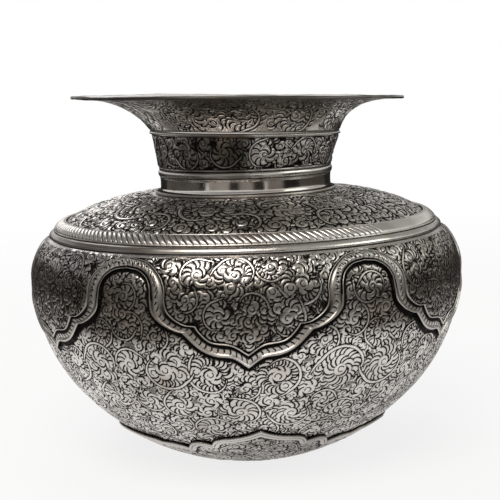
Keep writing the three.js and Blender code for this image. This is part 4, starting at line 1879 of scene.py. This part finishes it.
@dataclass
class BaseMedallion:
    """The lobed plate that the pot stands on, chased inside a raised border.

    The front and back lobes reach out further than the four at the sides. The outline of half
    a lobe is three curves of three points, each a radius in mm and a turn in degrees, and each
    of a lobe's scrolls is a turn, a distance along the outline and a radius.
    """

    tip: float = 76.0
    cusp: float = 60.0
    half_lobe: tuple = (
        ((76.0, 0), (72.3, 5), (70.8, 12)), ((70.8, 12), (70.4, 16.6), (65.6, 18)),
        ((65.6, 18), (71.0, 25.5), (60.0, 30)),
    )
    scrolls: tuple = ((-9, 27.5, 7.4), (9, 27.5, 7.4), (-22, 17.0, 6.6), (22, 17.0, 6.6), (0, 12.0, 7.2))
    side_share: float = 0.45
    turn: float = 3.0
    columns: int = 1152
    row_step: float = 0.4
    proud: float = 1.15
    under: float = 0.3
    border: float = 3.3
    border_height: float = 0.45
    relief: float = 0.32
    cut_depth: float = 0.28
    ground_depth: float = 0.22
    ground_dark: float = 0.9
    foot_rings: tuple = (7.0, 14.0, 21.0, 28.0)
    foot_columns: tuple = (72, 144, 288, 576)

    def outline(self) -> np.ndarray:
        """Draws the plate's edge in plan.

        Returns:
            Its turns in radians and its radii in mm, sorted by turn.
        """
        places = []
        t = np.linspace(0, 1, 60)[:, None]
        for lobe in range(LOBES):
            share = 1.0 if lobe % 3 == 0 else self.side_share
            for hand in (-1, 1):
                for curve in self.half_lobe:
                    a, b, c = (
                        self.in_plan(self.cusp + share * (r - self.cusp), hand * d + lobe * 60 + self.turn)
                        for r, d in curve
                    )
                    places.append((1 - t) ** 2 * a + 2 * t * (1 - t) * b + t * t * c)
        flat = np.vstack(places)
        angle = np.mod(np.arctan2(flat[:, 0], -flat[:, 1]), TAU)
        return np.column_stack((angle, np.hypot(*flat.T)))[np.argsort(angle)]

    def in_plan(self, radius: float, degrees: float) -> np.ndarray:
        """Gives a point in plan from its radius and its turn from the front."""
        turn = math.radians(degrees)
        return np.array((radius * math.sin(turn), -radius * math.cos(turn)))

    def build(self, finish: bpy.types.Material) -> bpy.types.Object:
        """Builds the plate.

        Args:
            finish: Its material.

        Returns:
            The piece.
        """
        line = Profile(BOWL)
        arc = np.arange(0.5, float(np.interp(self.tip + 1, BOWL[:, 0], line.arc)), self.row_step)
        edge = self.outline()
        radius = np.interp(turns_round(self.columns), edge[:, 0], edge[:, 1], period=TAU)
        edge_arc = np.interp(radius, BOWL[:, 0], line.arc)
        return self.shape(line, arc, edge_arc, *self.chase(line, arc, edge_arc), finish)

    def chase(self, line: Profile, arc: np.ndarray, edge_arc: np.ndarray) -> tuple[np.ndarray, np.ndarray]:
        """Chases the plate.

        Args:
            line: The bowl's outline, which the plate follows.
            arc: The rows of its relief in mm along the outline.
            edge_arc: Where it ends at each turn, in mm along the outline.

        Returns:
            The height of each place in mm, and its marks.
        """
        band = Chasing(arc, line.radius(arc), self.columns, seed=71, pitch=2.5)
        angle = turns_round(self.columns)
        plan = Plan(band)
        for a, s in zip(angle[::2], edge_arc[::2]):
            plan.take(a, s, 1.4, 9.0)
        plan.room[plan.rows[:, None] > np.interp(plan.angles, angle, edge_arc)] = -1
        plan.add_scrolls([
            Spot(math.radians(degrees + lobe * 60 + self.turn) % TAU, place, size)
            for lobe in range(LOBES) for degrees, place, size in self.scrolls
        ])
        inside = arc[:, None] < edge_arc
        Foliage((6.4, 8.0), (4.0, 5.4), least=3.4, feather=3.6).carve(band, plan, inside)
        away = np.where(inside, band.near_line(angle, edge_arc, 5.0), 0.0)
        rim = ease(self.border + 0.1, self.border - 0.3, away) * ease(0.0, 0.5, away)
        trench = 1 - ease(0.15, 0.5, np.abs(away - self.border - 0.35))
        trench = np.maximum(trench, 0.7 - ease(0.10, 0.35, np.abs(away - 1.3)))
        leaf = ease(self.border + 0.3, self.border + 0.8, away)
        groove = np.maximum(band.grooves(0.08, 0.3) * leaf, trench)
        ground = band.ground() * leaf
        lift = self.border_height * rim + band.lift * self.relief * leaf
        lift = lift - self.cut_depth * groove - self.ground_depth * ground
        rise = np.clip(band.lift * leaf + rim, 0, 1) * (1 - groove)
        return lift, marks_of(np.maximum(groove, ground * self.ground_dark), rise)

    def shape(self, line: Profile, arc: np.ndarray, edge_arc: np.ndarray, lift: np.ndarray,
              marks: np.ndarray, finish: bpy.types.Material) -> bpy.types.Object:
        """Lays the chased plate on rings that follow its lobed edge.

        Args:
            line: The bowl's outline, which the plate follows.
            arc: The rows of its relief in mm along the outline.
            edge_arc: Where it ends at each turn, in mm along the outline.
            lift: The height of each place in mm.
            marks: The marks of each place.
            finish: Its material.

        Returns:
            The piece.
        """
        angle = turns_round(self.columns)
        columns = np.arange(self.columns)
        foot, dark = (0.35, 0.2, 0.0), (0.8, 0.0, 0.0)
        skin = Skin(170.0, self.columns)
        for count, radius in zip(self.foot_columns, self.foot_rings):
            skin.level(radius, 0.0, radius, foot, count)
        skin.level(33.2, 0.0, 33.2, foot)
        for share in np.linspace(0.0, 1.0, 130):
            spot = np.clip((edge_arc * share - arc[0]) / (arc[1] - arc[0]), 0, len(arc) - 1.001)
            low = spot.astype(int)
            part = spot - low
            rise = lift[low, columns] * (1 - part) + lift[low + 1, columns] * part
            mark = marks[low, columns] * (1 - part)[:, None] + marks[low + 1, columns] * part[:, None]
            skin.add(line.place(angle, edge_arc * share, self.proud + rise), 35 + 48 * share, mark)
        for share in np.linspace(1, 0, 24):
            skin.add(line.place(angle, edge_arc * share, self.under), 84 + 48 * (1 - share), dark)
        for count, radius in zip(reversed(self.foot_columns), reversed(self.foot_rings)):
            skin.level(radius, SHEET, 167 - radius, dark, count)
        return skin.make("base_plate", finish, False)


@dataclass
class Studio:
    """The floor, the light and the camera.

    Each screen is its first and last turn in degrees and its tone, and each lamp its name,
    place in metres, width, power and colour.
    """

    screens: tuple = (
        (-180, -126, 0.03), (-126, -60, 0.14), (-60, -51, 0.02), (-47, -20, 0.50), (-20, -8, 0.04),
        (-8, 10, 0.40), (10, 24, 0.03), (27, 48, 0.32), (48, 72, 0.02), (72, 126, 0.12), (126, 180, 0.03),
    )
    soft_boxes: tuple = (
        ("key", (-0.32, -0.80, 1.22), 1.0, 13.0, (1.0, 0.95, 0.89)),
        ("fill", (1.15, -0.35, 0.75), 0.9, 3.2, (0.96, 1.0, 0.95)),
        ("back", (-0.3, 0.95, 1.1), 1.0, 6.0, (1.0, 1.0, 1.0)),
    )
    screen_distance: float = 0.34
    screen_height: float = 0.152
    screen_parts: int = 6
    floor_size: float = 6.0
    aim_height: float = 0.09
    lens: float = 83.5
    down: float = 7.95
    roll: float = -1.9
    stand: tuple = (0.0020, -0.547, 0.1691)

    def build(self) -> None:
        """Sets everything up."""
        self.floor()
        self.world()
        for number, screen in enumerate(self.screens):
            self.card(f"card_{number + 1}", *screen)
        for lamp in self.soft_boxes:
            self.lamp(*lamp)
        self.camera()

    def seen(self, g: Graph) -> Signal:
        """Tells whether the camera, a reflection or a view through glass sees it.

        Args:
            g: The nodes to add to.

        Returns:
            1 where it is seen.
        """
        path = g.node("ShaderNodeLightPath")
        seen = Signal(g, path.outputs["Is Camera Ray"])
        for name in ("Is Glossy Ray", "Is Transmission Ray"):
            seen = seen.math("MAXIMUM", Signal(g, path.outputs[name]))
        return seen

    def felt(self, g: Graph, colour: tuple) -> Signal:
        """Gives a plain dull surface."""
        return g.signal("ShaderNodeBsdfDiffuse", 0, None, {"Color": (*colour, 1.0)})

    def flat(self, name: str, corners: list, faces: list, finish: bpy.types.Material) -> bpy.types.Object:
        """Makes a thing of the studio.

        Args:
            name: Its name.
            corners: Its corners in metres.
            faces: Its faces, each a tuple of its corners' numbers.
            finish: Its material.

        Returns:
            The thing.
        """
        mesh = bpy.data.meshes.new(name)
        mesh.from_pydata(corners, [], faces)
        mesh.materials.append(finish)
        made = put(name, mesh)
        return made

    def floor(self) -> None:
        """Lays a pale floor that keeps the pot's shadow."""
        g = Graph(bpy.data.materials.new("floor"))
        cloth = self.felt(g, (0.80, 0.80, 0.80))
        glow = g.signal("ShaderNodeEmission", 0, None, {"Color": (1.0, 1.0, 1.0, 1.0), "Strength": 1.0})
        place = g.signal("ShaderNodeTexCoord", "Object")
        away = g.signal("ShaderNodeVectorMath", "Value", {"operation": "LENGTH"}, {0: place})
        share = self.seen(g) * (0.81 + away.between(0.3, 1.1) * 0.19)
        both = g.signal("ShaderNodeMixShader", 0, None, {0: share, 1: cloth, 2: glow})
        far = self.floor_size
        corners = [(-far, -far, 0), (far, -far, 0), (far, far, 0), (-far, far, 0)]
        self.flat("floor", corners, [(0, 1, 2, 3)], g.show(both))

    def world(self) -> None:
        """Sets a plain sky: white low down, and a dimmer ceiling."""
        world = bpy.data.worlds.new("studio")
        bpy.context.scene.world = world
        g = Graph(world)
        side, _, height = g.axes(g.signal("ShaderNodeTexCoord", "Generated"))
        ceiling = g.mix(side.between(-0.05, 0.45), (0.15, 0.15, 0.155), (0.38, 0.385, 0.36))
        shown = g.mix(height.between(0.12, 0.5), (1.0, 1.0, 1.0), ceiling)
        colour = g.mix(self.seen(g), (0.36, 0.36, 0.37), shown)
        g.show(g.signal("ShaderNodeBackground", 0, None, {"Color": colour, "Strength": 1.0}), "World")

    def card(self, name: str, first: float, last: float, tone: float) -> None:
        """Stands a dark card beside the pot, which only its reflections see.

        Args:
            name: Its name.
            first: The turn where it starts in degrees from the front.
            last: The turn where it ends.
            tone: How bright it is, 0 to 1.
        """
        corners = []
        for turn in np.radians(np.linspace(first, last, self.screen_parts + 1)):
            x, y = self.screen_distance * math.sin(turn), -self.screen_distance * math.cos(turn)
            top = self.screen_height * (1 + 0.1 * math.sin(3 * turn))
            corners += [(x, y, 0.002), (x, y, top)]
        faces = [(2 * k, 2 * k + 2, 2 * k + 3, 2 * k + 1) for k in range(self.screen_parts)]
        g = Graph(bpy.data.materials.new(name))
        card = self.flat(name, corners, faces, g.show(self.felt(g, (tone * 1.06, tone, tone * 0.92))))
        for ray in ("camera", "diffuse", "shadow", "transmission"):
            setattr(card, f"visible_{ray}", False)

    def lamp(self, name: str, at: tuple, size: float, power: float, colour: tuple) -> None:
        """Hangs a soft box that points at the pot.

        Args:
            name: Its name.
            at: Its place in metres.
            size: Its width in metres.
            power: Its power in watts.
            colour: Its colour.
        """
        data = bpy.data.lights.new(name, "AREA")
        data.shape = "RECTANGLE"
        data.size = size
        data.size_y = size * 0.7
        data.energy = power
        data.color = colour
        lamp = put(name, data)
        lamp.location = at
        aim = Vector((0, 0, self.aim_height)) - Vector(at)
        lamp.rotation_euler = aim.to_track_quat("-Z", "Y").to_euler()

    def camera(self) -> None:
        """Sets the camera where the photograph was taken from."""
        data = bpy.data.cameras.new("camera")
        data.lens = self.lens
        data.sensor_width = 36.0
        camera = put("camera", data)
        tilt = Matrix.Rotation(math.radians(90 - self.down), 4, "X")
        roll = Matrix.Rotation(math.radians(self.roll), 4, "Z")
        camera.matrix_world = Matrix.Translation(self.stand) @ tilt @ roll
        bpy.context.scene.camera = camera


def main() -> None:
    """Builds the pot piece by piece, then its studio."""
    logging.basicConfig(level=logging.INFO, format="%(message)s")
    bpy.context.scene.view_settings.view_transform = "Standard"
    # Each finish paints light and shade with its bands and sides. Belly: a darker band from 74 to 91 mm,
    # painted dark reflection over patina, and painted shade on the right.
    engraved = AgedSilver("engraved silver", patina_and_painted_light_zones=((74, 91, 9, 0.68),), sides=((35, 95, 15, 0.10),)).build()
    # Shoulder: a darker band near the top, painted shade over patina, and painted highlights on the right
    # and, faintly, on the left.
    shoulder = AgedSilver("shoulder silver", roughness=0.24, patina_and_painted_light_zones=((112, 130, 3, 0.14),),
                          sides=((18, 75, 14, -0.32), (-80, -28, 12, -0.06))).build()
    # Neck: a darker band, painted shade over patina, painted shade at the front left and a painted highlight
    # on the right.
    neck = AgedSilver("neck silver", dull=(0.062, 0.056, 0.045), roughness=0.22, dullness=0.46,
                      patina_and_painted_light_zones=((134, 147, 3, 0.26),), sides=((-38, 0, 10, 0.35), (8, 60, 8, -0.22)),
                      seed=2.0).build()
    # Mouth: painted highlights near the lip and at the front left, and painted shade on the right.
    flare = AgedSilver("mouth silver", dull=(0.115, 0.106, 0.085), roughness=0.21, dullness=0.42,
                       patina_and_painted_light_zones=((157, 168, 4, -0.50),), sides=((-46, 4, 14, -0.32), (12, 34, 8, 0.20)),
                       seed=3.0).build()
    base = AgedSilver("base silver", dullness=0.80, seed=8.0).build()
    # Seam bead and collar foot: painted shade on the left.
    polished = AgedSilver("polished silver", dullness=0.56, sides=((-95, -10, 18, 0.40),), seed=9.0).build()
    collar = AgedSilver("collar silver", roughness=0.10, dullness=0.46, dimples=0.04, seed=9.0).build()
    # Rope and straps: a darker band round the widest part, painted dark reflection over patina.
    raised = AgedSilver("raised silver", roughness=0.32, dullness=0.40, patina_and_painted_light_zones=((76, 94, 12, 0.45),),
                        seed=5.0).build()
    # Lip wire: dark silver, partly patina and partly painted shade, with more painted shade on the left.
    patina_and_shade = AgedSilver("worn rim silver", bright=(0.17, 0.16, 0.145), dull=(0.035, 0.032, 0.028),
                      dullness=0.6, sides=((-95, -10, 20, 0.30),), seed=6.0).build()
    adopt(LowerBowl().build(engraved), Slot.SHEET, "lower_bowl")
    adopt(BaseMedallion().build(base), Slot.MOULDING, "base_medallion")
    adopt(ShoulderDome().build(shoulder), Slot.SHEET, "shoulder_dome")
    adopt(SeamBead().build(polished), Slot.BAND, "seam_bead")
    adopt(RopeRing().build(raised), Slot.ROPE, "rope_ring")
    for number in range(LOBES):
        adopt(Strap(number).build(raised), Slot.MOULDING, f"strap_{number + 1}")
    adopt(NeckTube().build(neck), Slot.SHEET, "neck_tube")
    band = (
        (39.0, 122.95), (40.25, 122.95), (40.33, 123.2), (40.05, 123.7), (39.95, 125.0), (39.93, 126.5),
        (39.97, 128.0), (40.1, 129.0), (40.3, 129.4), (40.2, 129.7), (39.0, 129.7), (39.0, 126.3),
    )
    # The collar band goes dark in the corners where it meets the rings beside it: patina and painted shade.
    oxide_and_shade = (1, 0.9, 0.3, 0, 0, 0, 0, 0, 0.3, 0.9, 1, 1)
    rounded = PlainRing.rounded
    for ring, finish in (
        (rounded("collar_foot", "collar_foot_ring", 39.0, 42.4, 121.55, 122.9, 0.62), polished),
        (PlainRing("collar_band", "neck_collar", band, oxide_and_shade), collar),
        (rounded("collar_bead", "collar_top_bead", 39.0, 40.85, 129.8, 132.5, 0.55), neck),
        (rounded("ridge", "neck_ridge_ring", 43.5, 44.75, 148.25, 149.45, 0.45), neck),
    ):
        adopt(ring.build(finish), Slot.BAND, ring.node)
    adopt(MouthFlare().build(flare), Slot.SHEET, "mouth_flare")
    adopt(RimWire().build(patina_and_shade), Slot.BAND, "rim_wire")
    Studio().build()


if __name__ == "__main__":
    main()
